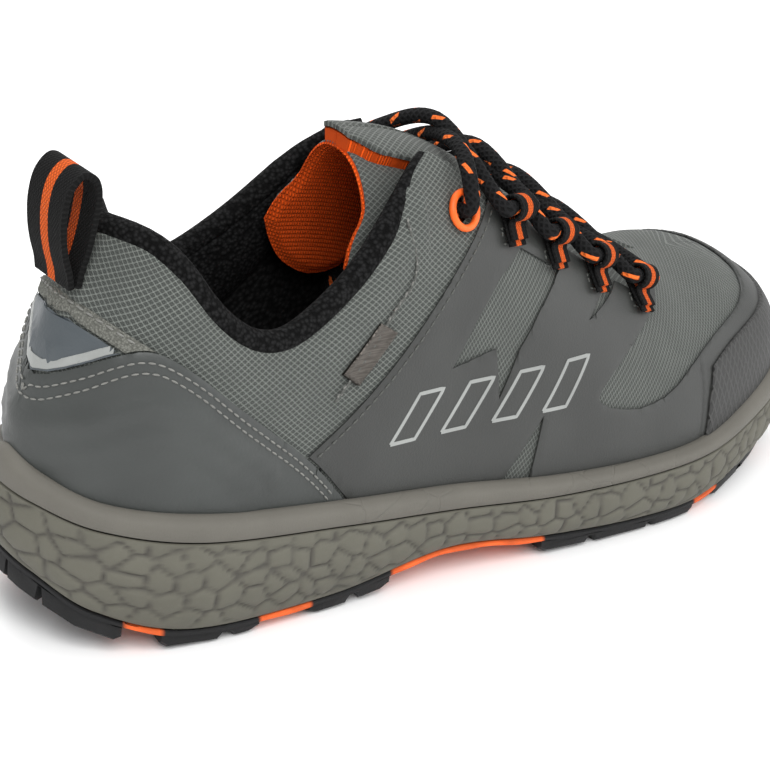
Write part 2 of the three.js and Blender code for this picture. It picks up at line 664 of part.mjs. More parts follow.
function collar() {
  const line = [...topline.slice(0, -1), [118, 121]];
  const over = (rise) => sideWall(above(shifted(line, 0, rise)));
  const band = (low, high) => over(low).subtract(over(high));
  const cut = sideWall([[collarEnd, -50], [400, -50], [400, 300], [collarEnd, 300]]);
  const padIn = stiffOut - collarThick;
  const pad = shell(padIn, stiffOut).intersect(band(-collarDepth, 0.8));
  const roll = shell(padIn, overIn + lipThick).intersect(band(layerGap, collarRoll));
  const lip = shell(overIn, overIn + lipThick).intersect(band(-collarRoll, 0.8));
  let made = pad.add(roll).add(lip).subtract(cut);
  for (const back of [0, 4, 8]) made = made.subtract(tongueZone(-0.8).translate([-back, 0, -back]));
  place("collar_padding", tidy(biggest(made)), "#1d1c1d", 0.95);
}

// ---- Tongue ----
// The space of the tongue, seen from above. The collar also leaves it room to be pressed down.
function tongueZone(grow) {
  const xs = tongueHalf.x;
  const mid = (x) => follow(spine.x, spine.y, x);
  const side = xs.map((x) => [x, follow(tongueHalf.x, tongueHalf.y, x) - grow]);
  side[0][0] += grow;
  side[side.length - 1][0] -= grow;
  const near = side.map(([x, y]) => [x, mid(x) - y]);
  const far = side.map(([x, y]) => [x, mid(x) + y]).reverse();
  const plan = topWall([...near, ...far], 40);
  return plan.intersect(sideWall(above(tongueEdge)));
}

function tongue() {
  place("tongue_mesh", tidy(biggest(shell(tongueMid, tongueOut).intersect(tongueZone(0)))), "#6f716d", 0.9);
  const wings = shell(wingIn, wingOut).intersect(sideWall(tongueWing));
  const foam = shell(foamIn, foamOut).intersect(tongueZone(0.5));
  place("tongue_lining", tidy(biggest(foam.add(wings))), "#e0622a", 0.9);
  const tag = sideWall([[114, 60], [130, 60], [130, 200], [114, 200]], across(-19), across(-9));
  const depth = wingIn - layerGap;
  place("tongue_label", tidy(biggest(shell(depth - 0.8, depth).intersect(tag))), "#8a857d", 0.7);
}

// ---- Lace loops, eyelets and lace ----
function rowPlace(row, side) {
  const t = stationAt(side, along(row.x));
  const base = dome(t, turnOf(row, side), filmOut + layerGap);
  const frame = frameAt(t, turnOf(row, side), side);
  return { base, ...frame };
}

const loopHole = laceRadius + 0.6;
const loopRadius = loopHole + loopWall;

// Profile of a webbing loop: a ring round the lace with a flat tail tacked down the side.
function loopSolid(row, side) {
  const { base, rise, out } = rowPlace(row, side);
  const shape = new THREE.Shape();
  shape.moveTo(-loopTail, 0);
  shape.lineTo(0, 0);
  shape.absarc(0, loopRadius, loopRadius, -Math.PI / 2, Math.PI / 2 + 0.9, false);
  shape.lineTo(-loopRadius - 1.5, loopWall);
  shape.lineTo(-loopTail, loopWall);
  const hole = new THREE.Path().absarc(0, loopRadius, loopHole, 0, Math.PI * 2, true);
  shape.holes.push(hole);
  const cast = { depth: loopLength, bevelEnabled: false, curveSegments: 7 };
  const block = new THREE.ExtrudeGeometry(shape, cast);
  block.translate(0, 0, -loopLength / 2);
  const basis = new THREE.Matrix4().makeBasis(rise, out, rise.clone().cross(out));
  basis.setPosition(base);
  return solid(block.applyMatrix4(basis));
}

function loops() {
  rows.forEach((row, i) => {
    place(`lace_loop_lateral_${i + 1}`, loopSolid(row, -1), "#1b1b1c");
    place(`lace_loop_medial_${i + 1}`, loopSolid(row, 1), "#1b1b1c");
  });
}

function eyelets() {
  for (const [side, word] of [[-1, "lateral"], [1, "medial"]]) {
    const { centre, out } = eyeletAt(side);
    const bead = new THREE.TorusGeometry((eyeletHole + eyeletWire) / 2, eyeletWire / 2, 6, 14);
    const turn = new THREE.Quaternion().setFromUnitVectors(new THREE.Vector3(0, 0, 1), out);
    const lift = out.clone().multiplyScalar(eyeletWire / 2 + layerGap);
    bead.applyQuaternion(turn).translate(centre.x + lift.x, centre.y + lift.y, centre.z + lift.z);
    place(`eyelet_ring_${word}`, solid(bead), "#e0622a", 0.6);
  }
}

// One strand of the lace, from the middle of the lowest bar up to the eyelet it ends at and down inside.
// first is the side of its lowest loop; strands take turns to lie on top where they cross.
function strand(first) {
  const points = [];
  const half = loopLength / 2;
  let side = first;
  for (let i = rows.length - 1; i >= 0; i -= 1) {
    const { base, ahead, out } = rowPlace(rows[i], side);
    const eye = base.clone().addScaledVector(out, loopRadius);
    for (const step of [half + 3, half, -half, -half - 3]) {
      points.push(eye.clone().addScaledVector(ahead, step));
    }
    const next = i > 0 ? rows[i - 1].x : eyelet.x;
    const over = (i % 2 === 1) === (first === -1);
    const low = tongueOut + layerGap + laceRadius + crossLift;
    const depth = over ? low + laceDiameter + crossLift : low;
    const middle = dome(stationAt(-1, along((rows[i].x + next) / 2)), Math.PI / 2, depth);
    points.push(middle);
    side = -side;
  }
  const hole = eyeletAt(side);
  const overEdge = meshOut + eyeletWire + laceRadius + layerGap;
  const inside = (dx, turn, depth) => dome(stationAt(side, along(eyelet.x + dx)), turn, depth);
  const edge = turnOf(eyelet, side);
  points.push(inside(4, edge + 0.3, overEdge + 1.5), inside(1.2, edge + 0.1, overEdge + 2.2));
  points.push(hole.centre.clone().addScaledVector(hole.out, 3.2).addScaledVector(hole.rise, 0.3));
  points.push(hole.centre.clone().addScaledVector(hole.out, -5));
  for (const [dx, turn, depth] of side < 0 ? lateralTail : medialTail) points.push(inside(dx, turn, depth));
  return points;
}

function lace() {
  const left = strand(-1);
  const right = strand(1);
  const last = stationAt(-1, along(rows[rows.length - 1].x + 9));
  const bar = dome(last, Math.PI / 2, tongueOut + layerGap + laceRadius + 2.5);
  const path = new THREE.CatmullRomCurve3([...left.reverse(), bar, ...right], false, "centripetal");
  path.getPointAt = path.getPoint;
  path.getTangentAt = path.getTangent;
  const round = new THREE.Shape().absarc(0, 0, laceRadius, 0, Math.PI * 2, false);
  const steps = 2 * (path.points.length - 1);
  const cast = { steps, extrudePath: path, curveSegments: 4, bevelEnabled: false };
  const tube = new THREE.ExtrudeGeometry(round, cast);
  place("lace", solid(tube), "#1a1a1b", 0.9);
  for (const [at, sign, word] of [[0, -1, "lateral"], [1, 1, "medial"]]) {
    const end = path.getPointAt(at);
    const way = path.getTangentAt(at).multiplyScalar(sign);
    const sleeve = new THREE.CylinderGeometry(agletDiameter / 2, agletDiameter / 2, agletLength, 10);
    sleeve.applyQuaternion(new THREE.Quaternion().setFromUnitVectors(new THREE.Vector3(0, 1, 0), way));
    const middle = end.addScaledVector(way, agletLength / 2 + 0.3);
    place(`aglet_${word}`, solid(sleeve.translate(middle.x, middle.y, middle.z)), "#1a1a1b", 0.4);
  }
}

// The webbing loop at the heel: a closed ribbon that stands on the heel trim.
function pullLoop() {
  const foot = heelFace(up(pullFoot));
  const shape = new THREE.Shape(pullOuter.map(([dx, z]) => new THREE.Vector2(foot + dx, up(z))));
  const hole = new THREE.Path(pullInner.map(([dx, z]) => new THREE.Vector2(foot + dx, up(z))));
  shape.holes.push(hole);
  const block = new THREE.ExtrudeGeometry(shape, { depth: pullWidth, bevelEnabled: false });
  block.rotateX(Math.PI / 2).translate(0, pullWidth / 2 + spineAt(0), 0);
  place("pull_loop", solid(block), "#1b1b1c", 0.9);
}

// X of the outer face of the mesh at the middle of the heel, at a height.
function heelFace(z) {
  let low = 0;
  let high = Math.PI / 2;
  for (let i = 0; i < 40; i += 1) {
    const mid = (low + high) / 2;
    if (dome(0, mid, meshOut).z < z) low = mid;
    else high = mid;
  }
  return dome(0, low, meshOut).x;
}

midsole();
outsoleSheet();
lugPads();
centrePads();
insoles();
lining();
stiffeners();
quarters();
vamp();
films();
heelPieces();
collar();
tongue();
loops();
eyelets();
lace();
pullLoop();

// The origin goes to the middle of the shoe's underside.
const extent = new THREE.Box3().setFromObject(group);
const centre = extent.getCenter(new THREE.Vector3());
for (const mesh of group.children) mesh.geometry.translate(-centre.x, -centre.y, -extent.min.z);

export default group;
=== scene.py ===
# A low-cut lace-up trail shoe for the right foot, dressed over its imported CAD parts.
import bpy, bmesh, json, math, random
import numpy as np
from mathutils import Matrix, Vector, kdtree
from mathutils.geometry import delaunay_2d_cdt

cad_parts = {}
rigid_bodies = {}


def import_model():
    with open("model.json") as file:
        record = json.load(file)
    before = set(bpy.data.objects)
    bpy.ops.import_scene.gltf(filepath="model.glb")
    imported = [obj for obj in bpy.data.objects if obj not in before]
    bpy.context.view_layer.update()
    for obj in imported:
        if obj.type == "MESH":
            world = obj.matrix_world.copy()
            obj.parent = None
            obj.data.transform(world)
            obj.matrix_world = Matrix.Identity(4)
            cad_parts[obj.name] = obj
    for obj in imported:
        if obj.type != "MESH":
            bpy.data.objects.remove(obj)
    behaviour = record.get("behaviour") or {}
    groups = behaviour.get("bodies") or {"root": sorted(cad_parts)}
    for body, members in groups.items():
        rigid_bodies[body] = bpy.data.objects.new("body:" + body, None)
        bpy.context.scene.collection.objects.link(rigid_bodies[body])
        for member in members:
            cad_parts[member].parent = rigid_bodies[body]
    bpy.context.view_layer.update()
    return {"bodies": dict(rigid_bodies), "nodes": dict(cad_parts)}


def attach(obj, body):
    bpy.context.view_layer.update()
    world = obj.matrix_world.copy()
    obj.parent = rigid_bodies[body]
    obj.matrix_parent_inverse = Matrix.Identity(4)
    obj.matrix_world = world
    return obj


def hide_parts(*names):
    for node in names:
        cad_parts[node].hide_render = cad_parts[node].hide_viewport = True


for stray in list(bpy.data.objects):  # the start-up cube, lamp and camera
    bpy.data.objects.remove(stray)
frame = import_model()
bpy.ops.object.select_all(action="DESELECT")
mm = 0.001
drawnOrigin = np.array([150.66, 0.93, 0.0])  # where the CAD's origin lies in the drawn shoe

# the shoe's form: the same curves that the CAD is cut from, in millimetres
# x, y of the widest line of the sole, then heights of rim, groove, foam foot and lugs
stations = np.array([
    [0, -3.5, 52, 43, 24, 15.5], [3, -16, 48.5, 41.5, 21, 12.5], [14.5, -31, 44, 38, 13.5, 6],
    [41, -40.5, 39.5, 33, 6, 0], [86, -43, 34, 28, 5.5, 0], [126, -44.2, 30, 24, 10.5, 3.5],
    [161, -48, 26.5, 21.5, 7.5, 1.2], [196, -50.3, 25, 21, 5.5, 0], [225, -49.5, 26, 22, 5.5, 0],
    [252, -42, 30, 24.5, 8.5, 2.5], [276, -31, 35, 27.5, 12, 6], [293, -14, 39, 30, 15, 9.5],
    [301, 9, 41, 31, 16.5, 11], [297, 31, 39, 30, 15, 9.5], [281, 45.5, 35.5, 27.5, 12, 6],
    [256, 52, 30.5, 24.5, 8.5, 2.5], [226, 51, 27, 22, 5.5, 0], [196, 46, 26, 21, 5.5, 0],
    [161, 38, 29, 22.5, 8.5, 1.5], [126, 34.5, 33, 25, 12, 4.5], [86, 33, 36, 28.5, 6.5, 0],
    [41, 31.5, 40, 33, 6, 0], [14.5, 21, 44.5, 38, 13.5, 6], [3.5, 7, 48.5, 41.5, 21, 12.5]])
ridge = {"x": [0, 40, 80, 115, 135, 150, 175, 205, 230, 250, 275, 301],
         "z": [131, 131, 131, 126.5, 119, 110.5, 95, 76, 67.5, 66, 61.5, 53.5]}
spine = {"x": [0, 40, 100, 150, 205, 244, 301], "y": [-3.5, -3.5, -2, 0, 1, 2, 4]}
square = {"x": [0, 40, 100, 150, 205, 244, 301], "n": [2.6, 2.6, 2.5, 2.3, 2.2, 2.2, 2.3]}
heelPole, toePole = 40, 244
upperInset, cupSink = 7, 6
rimAt, grooveAt, footAt = 2, 3, 4


def station(t, column):
    count = len(stations)
    turn = np.mod(np.asarray(t, float), count)
    i = np.floor(turn).astype(int)
    f = turn - i
    p = [stations[(i + k) % count, column] for k in (-1, 0, 1, 2)]
    cubic = -p[0] + 3 * p[1] - 3 * p[2] + p[3]
    squared = 2 * p[0] - 5 * p[1] + 4 * p[2] - p[3]
    return 0.5 * (2 * p[1] + (p[2] - p[0]) * f + squared * f**2 + cubic * f**3)


def follow(xs, ys, x):
    xs, ys = np.asarray(xs, float), np.asarray(ys, float)
    at = np.clip(np.asarray(x, float), xs[0], xs[-1])
    i = np.clip(np.searchsorted(xs, at, side="left") - 1, 0, len(xs) - 2)
    slope = np.diff(ys) / np.diff(xs)
    tangent = np.concatenate([slope[:1], (slope[:-1] + slope[1:]) / 2, slope[-1:]])
    w = xs[i + 1] - xs[i]
    f = (at - xs[i]) / w
    rise = ys[i + 1] - ys[i]
    a, b = tangent[i] * w - rise, rise - tangent[i + 1] * w
    return ys[i] + rise * f + f * (1 - f) * (a * (1 - f) + b * f)


def spineAt(x):
    return follow(spine["x"], spine["y"], x)


def outline(t, inset):
    t = np.asarray(t, float)
    dx = station(t + 0.001, 0) - station(t - 0.001, 0)
    dy = station(t + 0.001, 1) - station(t - 0.001, 1)
    size = np.hypot(dx, dy)
    near = np.minimum(inset, upperInset)
    x, y = station(t, 0) - near * dy / size, station(t, 1) + near * dx / size
    cx = np.clip(x, heelPole, toePole)
    cy = spineAt(cx)
    rest = np.maximum(np.asarray(inset) - upperInset, 0) / np.hypot(x - cx, y - cy)
    rest = np.minimum(rest, 1)
    return x + (cx - x) * rest, y + (cy - y) * rest


def dome(t, angle, depth=0.0):
    t, angle, depth = np.broadcast_arrays(*[np.asarray(v, float) for v in (t, angle, depth)])
    fx, fy = outline(t, upperInset)
    floor = station(t, rimAt) - cupSink
    cx = np.clip(fx, heelPole, toePole)
    cy = spineAt(cx)
    reach = np.hypot(fx - cx, fy - cy)
    power = 2 / follow(square["x"], square["n"], fx)
    top = angle >= math.pi / 2 - 1e-9
    inward = np.where(top, 0, np.abs(np.cos(angle)) ** power)
    climb = np.where(top, 1, np.abs(np.sin(angle)) ** power)
    run = (reach + depth) * inward / reach
    x, y = cx + (fx - cx) * run, cy + (fy - cy) * run
    z = floor + (follow(ridge["x"], ridge["z"], x) + depth - floor) * climb
    high = np.clip((z - 55) / 45, 0, 2)
    back = np.maximum(1 - x / 70, 0)
    return np.stack([x + 9 * high**1.3 * back, y, z], -1)


def toFrame(points):
    return (np.asarray(points, float) - drawnOrigin) * mm


sideT = np.linspace(0.3, 12, 3000)
lateralFeet, medialFeet = outline(sideT, upperInset)[0], outline(-sideT, upperInset)[0]


def stationAt(side, x):  # side -1 is lateral, 1 medial; medial stations count on past the toe
    if side < 0:
        return np.interp(x, lateralFeet, sideT)
    return 24 - np.interp(x, medialFeet, sideT)


def outwardAt(t, angle):  # position, and unit vectors along the shoe, up the section and outwards
    e = 0.02
    side = -1 if t < 12 else 1
    rise = dome(t, angle + e) - dome(t, angle - e)
    rise /= np.linalg.norm(rise)
    around = (dome(t + e, angle) - dome(t - e, angle)) * -side
    out = np.cross(around, rise) * -side
    out /= np.linalg.norm(out)
    return np.cross(rise, out) * -side, rise, out


# arc length round the foot, so that flat patterns keep their size
arcT = np.linspace(-24, 48, 7201)
arcLine = np.stack(outline(arcT, upperInset), -1)
arcMm = np.concatenate([[0], np.cumsum(np.linalg.norm(np.diff(arcLine, axis=0), axis=1))])


def arcOf(t):
    return np.interp(t, arcT, arcMm) - np.interp(0.0, arcT, arcMm)


def stationOf(arc):
    return np.interp(np.asarray(arc) + np.interp(0.0, arcT, arcMm), arcMm, arcT)


def heightArc(t, angle):  # distance up the section from the sole
    steps = 20
    total = np.zeros(len(t))
    before = dome(t, angle * 0)
    for k in range(1, steps + 1):
        here = dome(t, angle * k / steps)
        total += np.linalg.norm(here - before, axis=1)
        before = here
    return total


# trees that find the place on the dome under a point of the side view or the top view
def makeTree(tRange, pick, low=0.0):
    ts, angles = np.meshgrid(np.linspace(*tRange, 900), np.linspace(low, math.pi / 2, 240), indexing="ij")
    ts, angles = ts.ravel(), angles.ravel()
    at = dome(ts, angles)[:, pick]
    tree = kdtree.KDTree(len(ts))
    for i, (a, b) in enumerate(at):
        tree.insert((a, b, 0), i)
    tree.balance()
    return tree, ts, angles, pick


sideTrees = {-1: makeTree((0, 12), [0, 2]), 1: makeTree((12, 24), [0, 2])}
topTree = makeTree((3, 21), [0, 1], 0.35)


def findPlace(tree, points):  # returns t, angle and how far off the dome each point lies
    found, ts, angles, pick = tree
    out = []
    for a, b in points:
        _, i, far = found.find((a, b, 0))
        t, angle = ts[i], angles[i]
        for _ in range(4):
            if far > 1.5:
                break
            grid = dome([t, t + 1e-3, t], [angle, angle, min(angle + 1e-3, 1.5707)])[:, pick]
            jac = np.stack([(grid[1] - grid[0]) / 1e-3, (grid[2] - grid[0]) / 1e-3], -1)
            if abs(np.linalg.det(jac)) < 1e-3:
                break
            step = np.linalg.solve(jac, np.array([a, b]) - grid[0])
            step = np.clip(step, -0.1, 0.1)
            t, angle = t + step[0], min(max(angle + step[1], 0.0), math.pi / 2)
        out.append((t, angle, far))
    return np.array(out)


def dense(points, gap=1.6):
    out = [points[0]]
    for a, b in zip(points[:-1], points[1:]):
        steps = max(1, int(math.hypot(b[0] - a[0], b[1] - a[1]) / gap))
        out += [(a[0] + (b[0] - a[0]) * k / steps, a[1] + (b[1] - a[1]) * k / steps)
                for k in range(1, steps + 1)]
    return out


def sideLine(side, points, gap=1.6):  # a side-view line laid on one side of the dome: list of (t, angle)
    spread = dense(points, gap)
    found = findPlace(sideTrees[side], spread)
    good = found[:, 2] < 0.6
    kept = [tuple(f[:2]) for f in found[good]]
    for end, at in ((0, 0), (len(spread) - 1, len(kept))):
        if not good[end]:  # it runs off the silhouette, so it is closed on the heel's or toe's middle line
            edge = [i for i, g in enumerate(good) if g]
            if not edge:
                continue
            near = spread[edge[0] if end == 0 else edge[-1]]
            middle = 0.0 if near[0] < 150 else 12.0
            middle = 24.0 if middle == 0.0 and side > 0 else middle
            angles = np.linspace(0, math.pi / 2, 2000)
            z = dome(middle, angles)[:, 2]
            kept.insert(at, (middle, float(np.interp(near[1], z, angles))))
    return kept


def inside(polygon, x, y):
    hit = np.zeros(len(x), bool)
    n = len(polygon)
    for i in range(n):
        (xa, ya), (xb, yb) = polygon[i], polygon[(i + 1) % n]
        if ya == yb:
            continue
        cross = ((ya > y) != (yb > y)) & (x < (xb - xa) * (y - ya) / (yb - ya) + xa)
        hit ^= cross
    return hit


def lineHeight(line, x, right=None):  # the height of a side-view line at x
    return np.interp(x, [p[0] for p in line], [p[1] for p in line], right=right)


def shifted(points, dx, dz):
    return [(x + dx, z + dz) for x, z in points]


def lineDistance(points, x, z):
    best = np.full(len(x), 1e9)
    for (xa, za), (xb, zb) in zip(points[:-1], points[1:]):
        vx, vz = xb - xa, zb - za
        f = np.clip(((x - xa) * vx + (z - za) * vz) / (vx * vx + vz * vz + 1e-9), 0, 1)
        best = np.minimum(best, np.hypot(x - xa - f * vx, z - za - f * vz))
    return best


# meshes
def makeObject(name, points, faces, uv=None, relief=None, smoothAngle=38):
    mesh = bpy.data.meshes.new(name)
    mesh.from_pydata([tuple(p) for p in toFrame(points)], [], [tuple(int(i) for i in f) for f in faces])
    mesh.validate()
    loops = np.zeros(len(mesh.loops), int)
    mesh.loops.foreach_get("vertex_index", loops)
    if uv is not None:
        layer = mesh.uv_layers.new(name="cloth")
        layer.data.foreach_set("uv", np.asarray(uv, np.float32)[loops].ravel())
    if relief is not None:
        layer = mesh.attributes.new("relief", "FLOAT", "POINT")
        layer.data.foreach_set("value", np.asarray(relief, np.float32))
    obj = bpy.data.objects.new(name, mesh)
    bpy.context.collection.objects.link(obj)
    bpy.ops.object.select_all(action="DESELECT")
    obj.select_set(True)
    bpy.context.view_layer.objects.active = obj
    if smoothAngle:
        bpy.ops.object.shade_smooth_by_angle(angle=math.radians(smoothAngle))
    obj.select_set(False)
    return obj


def faceOutward(obj):
    work = bmesh.new()
    work.from_mesh(obj.data)
    bmesh.ops.recalc_face_normals(work, faces=work.faces)
    work.to_mesh(obj.data)
    work.free()


def dress(obj, material, body="shoe", nodes=()):
    obj.data.materials.clear()
    obj.data.materials.append(material)
    if nodes:
        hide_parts(*nodes)
    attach(obj, body)
    return obj


ridgeX = np.arange(60, toePole + 0.1, 1.6)
angleScale = 62.0


def layPatch(name, span, lines, keep, depth, inner, gap=1.7, rise=(0.0, math.pi / 2), soften=0.3,
             uvKind="round", relief=None):
    t0, t1 = span
    ts = stationOf(np.arange(arcOf(t0), arcOf(t1), gap))
    closed = rise[1] >= math.pi / 2
    rows = np.linspace(rise[0], rise[1], max(3, int((rise[1] - rise[0]) * angleScale / gap)))
    ring = []
    for k, angle in enumerate(rows[: -1 if closed else None]):
        off = 0.5 * (ts[1] - ts[0]) if k % 2 else 0
        line = np.clip(np.concatenate([[t0], ts[1:] + off, [t1]]), t0, t1)
        ring += [(arcOf(t), angle * angleScale) for t in line]
    if closed:
        top = [stationAt(-1, x) for x in ridgeX] + [stationAt(1, x) for x in ridgeX]
        top = [t for t in top if t0 <= t <= t1] + [t0, t1]
        ring += [(arcOf(t), math.pi / 2 * angleScale) for t in top]
    points, edges = list(ring), []
    for line in lines:
        first = len(points)
        points += [(float(arcOf(t)), angle * angleScale) for t, angle in line]
        edges += [(first + i, first + i + 1) for i in range(len(line) - 1)]
    made = delaunay_2d_cdt([Vector(p) for p in points], edges, [], 0, 1e-4)
    flat = np.array([tuple(v) for v in made[0]])
    tris = np.array([f for f in made[2] if len(f) == 3])
    t, angle = stationOf(flat[:, 0]), np.clip(flat[:, 1] / angleScale, 0, math.pi / 2)
    tc, ac = stationOf(flat[tris][:, :, 0].mean(1)), flat[tris][:, :, 1].mean(1) / angleScale
    middle = dome(tc, ac)
    tris = tris[keep(middle[:, 0], middle[:, 1], middle[:, 2], tc, ac)]
    base = dome(t, angle)
    seam = {}
    swap = np.arange(len(t))
    for i in np.nonzero(angle > math.pi / 2 - 1e-6)[0]:
        swap[i] = seam.setdefault(tuple(np.round(base[i], 2)), i)
    tris = swap[tris]
    good = (tris[:, 0] != tris[:, 1]) & (tris[:, 1] != tris[:, 2]) & (tris[:, 2] != tris[:, 0])
    tris = tris[good]
    used, tris = np.unique(tris, return_inverse=True)
    tris = tris.reshape(-1, 3)
    t, angle, base = t[used], angle[used], base[used]
    directed = {(a, b) for tri in tris for a, b in ((tri[0], tri[1]), (tri[1], tri[2]), (tri[2], tri[0]))}
    rimEdges = [(a, b) for a, b in directed if (b, a) not in directed]
    edgeOf = np.zeros(len(t))
    for a, b in rimEdges:
        edgeOf[a] = edgeOf[b] = 1
    outer = depth(base[:, 0], base[:, 1], base[:, 2], t) if callable(depth) else np.full(len(t), float(depth))
    low = inner(base[:, 0], base[:, 1], base[:, 2], t) if callable(inner) else np.full(len(t), float(inner))
    outer = outer - edgeOf * np.minimum(soften, (outer - low) * 0.45)
    outside, inmost = dome(t, angle, outer), dome(t, angle, low)
    n = len(t)
    faces = [tuple(f) for f in tris] + [(a + n, c + n, b + n) for a, b, c in tris]
    faces += [(b, a, a + n, b + n) for a, b in rimEdges]
    if uvKind == "round":
        uv = np.stack([arcOf(t), heightArc(t, angle)], -1)
    else:  # measured from the ridge, so a pattern runs over the top of the foot
        up = heightArc(t, np.full(n, math.pi / 2)) - heightArc(t, angle)
        uv = np.stack([base[:, 0], np.where(t < 12, up, -up)], -1)
    height = None
    if relief is not None:
        height = np.tile(relief(base[:, 0], base[:, 1], base[:, 2], t), 2)
    return makeObject(name, np.concatenate([outside, inmost]), faces, np.concatenate([uv, uv]), height)


def soleLoops(name, rows, cells=None):  # rows: (inset, height function, share of the way in)
    ts = ringStations
    points, reliefs = [], []
    for inset, height, relief in rows:
        x, y = outline(ts, inset if not callable(inset) else inset(ts))
        z = height(ts) if callable(height) else np.full(len(ts), float(height))
        points.append(np.stack([x, y, z], -1))
        reliefs.append(np.full(len(ts), relief))
    grid = np.array(points)
    if cells is not None:
        grid, reliefs = cells(grid, reliefs)
    m, n = grid.shape[:2]
    faces = []
    for i in range(m - 1):
        for j in range(n):
            k = (j + 1) % n
            faces.append((i * n + j, i * n + k, (i + 1) * n + k, (i + 1) * n + j))
    flat = grid.reshape(-1, 3)
    obj = makeObject(name, flat, faces, None, np.array(reliefs).ravel())
    work = bmesh.new()
    work.from_mesh(obj.data)
    bmesh.ops.remove_doubles(work, verts=work.verts, dist=2e-5)
    bmesh.ops.holes_fill(work, edges=[e for e in work.edges if e.is_boundary], sides=0)
    bmesh.ops.dissolve_degenerate(work, edges=work.edges, dist=1e-6)
    bmesh.ops.recalc_face_normals(work, faces=work.faces)
    work.to_mesh(obj.data)
    work.free()
    return obj


heelCluster = np.linspace(stationAt(1, heelPole) - 24, stationAt(-1, heelPole), 110)
midX = np.arange(heelPole + 1.3, toePole, 1.3)
toeCluster = np.linspace(stationAt(-1, toePole), stationAt(1, toePole), 150)
ringStations = np.concatenate([heelCluster, stationAt(-1, midX), toeCluster, stationAt(1, midX[::-1])])

# materials


def newMaterial(name, colour, roughness, metallic=0.0, sheen=0.0, shine=0.5):
    m = bpy.data.materials.new(name)
    m.use_nodes = True
    shader = m.node_tree.nodes["Principled BSDF"]
    shader.inputs["Base Color"].default_value = (*colour, 1)
    shader.inputs["Roughness"].default_value = roughness
    shader.inputs["Metallic"].default_value = metallic
    shader.inputs["Specular IOR Level"].default_value = shine
    if sheen:
        shader.inputs["Sheen Weight"].default_value = sheen
        shader.inputs["Sheen Roughness"].default_value = 0.5
    return m, shader


def addNode(m, kind, settings=None, **inputs):
    node = m.node_tree.nodes.new(kind)
    for key, value in (settings or {}).items():
        setattr(node, key, value)
    for key, value in inputs.items():
        numbered = key[0] == "i" and key[1:].isdigit()
        socket = node.inputs[int(key[1:]) if numbered else key.replace("_", " ")]
        if isinstance(value, bpy.types.NodeSocket):
            m.node_tree.links.new(value, socket)
        else:
            socket.default_value = value
    return node


def objectPlace(m):
    return addNode(m, "ShaderNodeTexCoord").outputs["Object"]


def clothPlace(m, turn=0.0, scale=(1, 1, 1)):
    uv = addNode(m, "ShaderNodeUVMap", {"uv_map": "cloth"}).outputs["UV"]
    return addNode(m, "ShaderNodeMapping", {}, Vector=uv, Rotation=(0, 0, turn),
                   Scale=scale).outputs["Vector"]


def bands(m, place, pitch, direction="X"):  # bright and dark stripes, pitch in the place's own units
    return addNode(m, "ShaderNodeTexWave", {"bands_direction": direction}, Vector=place,
                   Scale=2 * math.pi / 20 / pitch).outputs["Fac"]


def mathNode(m, operation, a, b=0.5, clamp=False):
    return addNode(m, "ShaderNodeMath", {"operation": operation, "use_clamp": clamp}, i0=a, i1=b).outputs[0]


def ramp(m, fac, low, high):  # 0 below low, 1 above high
    return addNode(m, "ShaderNodeMapRange", {"interpolation_type": "SMOOTHSTEP"}, Value=fac,
                   From_Min=low, From_Max=high).outputs["Result"]


def mixColour(m, fac, a, b):
    node = m.node_tree.nodes.new("ShaderNodeMix")
    node.data_type = "RGBA"
    for index, value in ((0, fac), (6, a), (7, b)):
        if isinstance(value, bpy.types.NodeSocket):
            m.node_tree.links.new(value, node.inputs[index])
        else:
            node.inputs[index].default_value = (*value, 1) if index else value
    return node.outputs[2]


def noise(m, place, scale, detail=2.0):
    return addNode(m, "ShaderNodeTexNoise", {}, Vector=place, Scale=scale, Detail=detail).outputs["Fac"]


def bump(m, shader, height, strength, distance):
    node = addNode(m, "ShaderNodeBump", {}, Height=height, Strength=strength, Distance=distance)
    m.node_tree.links.new(node.outputs["Normal"], shader.inputs["Normal"])


def colourFrom(m, shader, socket):
    m.node_tree.links.new(socket, shader.inputs["Base Color"])


def foamFinish(name, light, crackShadeColour, fineCracks):
    m, shader = newMaterial(name, light, 0.72)
    place = objectPlace(m)
    broad, fine = noise(m, place, 60, 3), noise(m, place, 1500, 2)
    attribute = addNode(m, "ShaderNodeAttribute", {"attribute_name": "relief"}).outputs["Fac"]
    tone = mixColour(m, ramp(m, broad, 0.3, 0.7), tuple(c * 0.9 for c in light), light)
    # where the relief attribute falls towards 0, in the pebble cracks, the colour turns to a painted shade
    # colour
    colourFrom(m, shader, mixColour(m, attribute, crackShadeColour, tone))
    height = mathNode(m, "MULTIPLY", fine, 0.35)
    if fineCracks:
        veins = addNode(m, "ShaderNodeTexVoronoi", {"feature": "DISTANCE_TO_EDGE"}, Vector=place,
                        Scale=70).outputs[0]
        open_ = mathNode(m, "MULTIPLY", ramp(m, noise(m, place, 26, 1), 0.56, 0.66),
                         mathNode(m, "SUBTRACT", 1.0, ramp(m, veins, 0.0, 0.03)))
        height = mathNode(m, "SUBTRACT", height, open_)
    bump(m, shader, height, 0.5, 0.0004)
    return m


def rubberFinish(name, colour, roughness=0.62, wrap=None):
    m, shader = newMaterial(name, colour, roughness, shine=0.3)
    place = objectPlace(m)
    broad = ramp(m, noise(m, place, 90, 3), 0.35, 0.7)
    tone = mixColour(m, broad, tuple(c * 0.8 for c in colour),
                     tuple(min(1, c * 1.25 + 0.002) for c in colour))
    if wrap:
        tone = mixColour(m, addNode(m, "ShaderNodeAttribute", {"attribute_name": "relief"}).outputs["Fac"],
                         tone, wrap)
    colourFrom(m, shader, tone)
    bump(m, shader, noise(m, place, 1300, 3), 0.35, 0.0003)
    return m


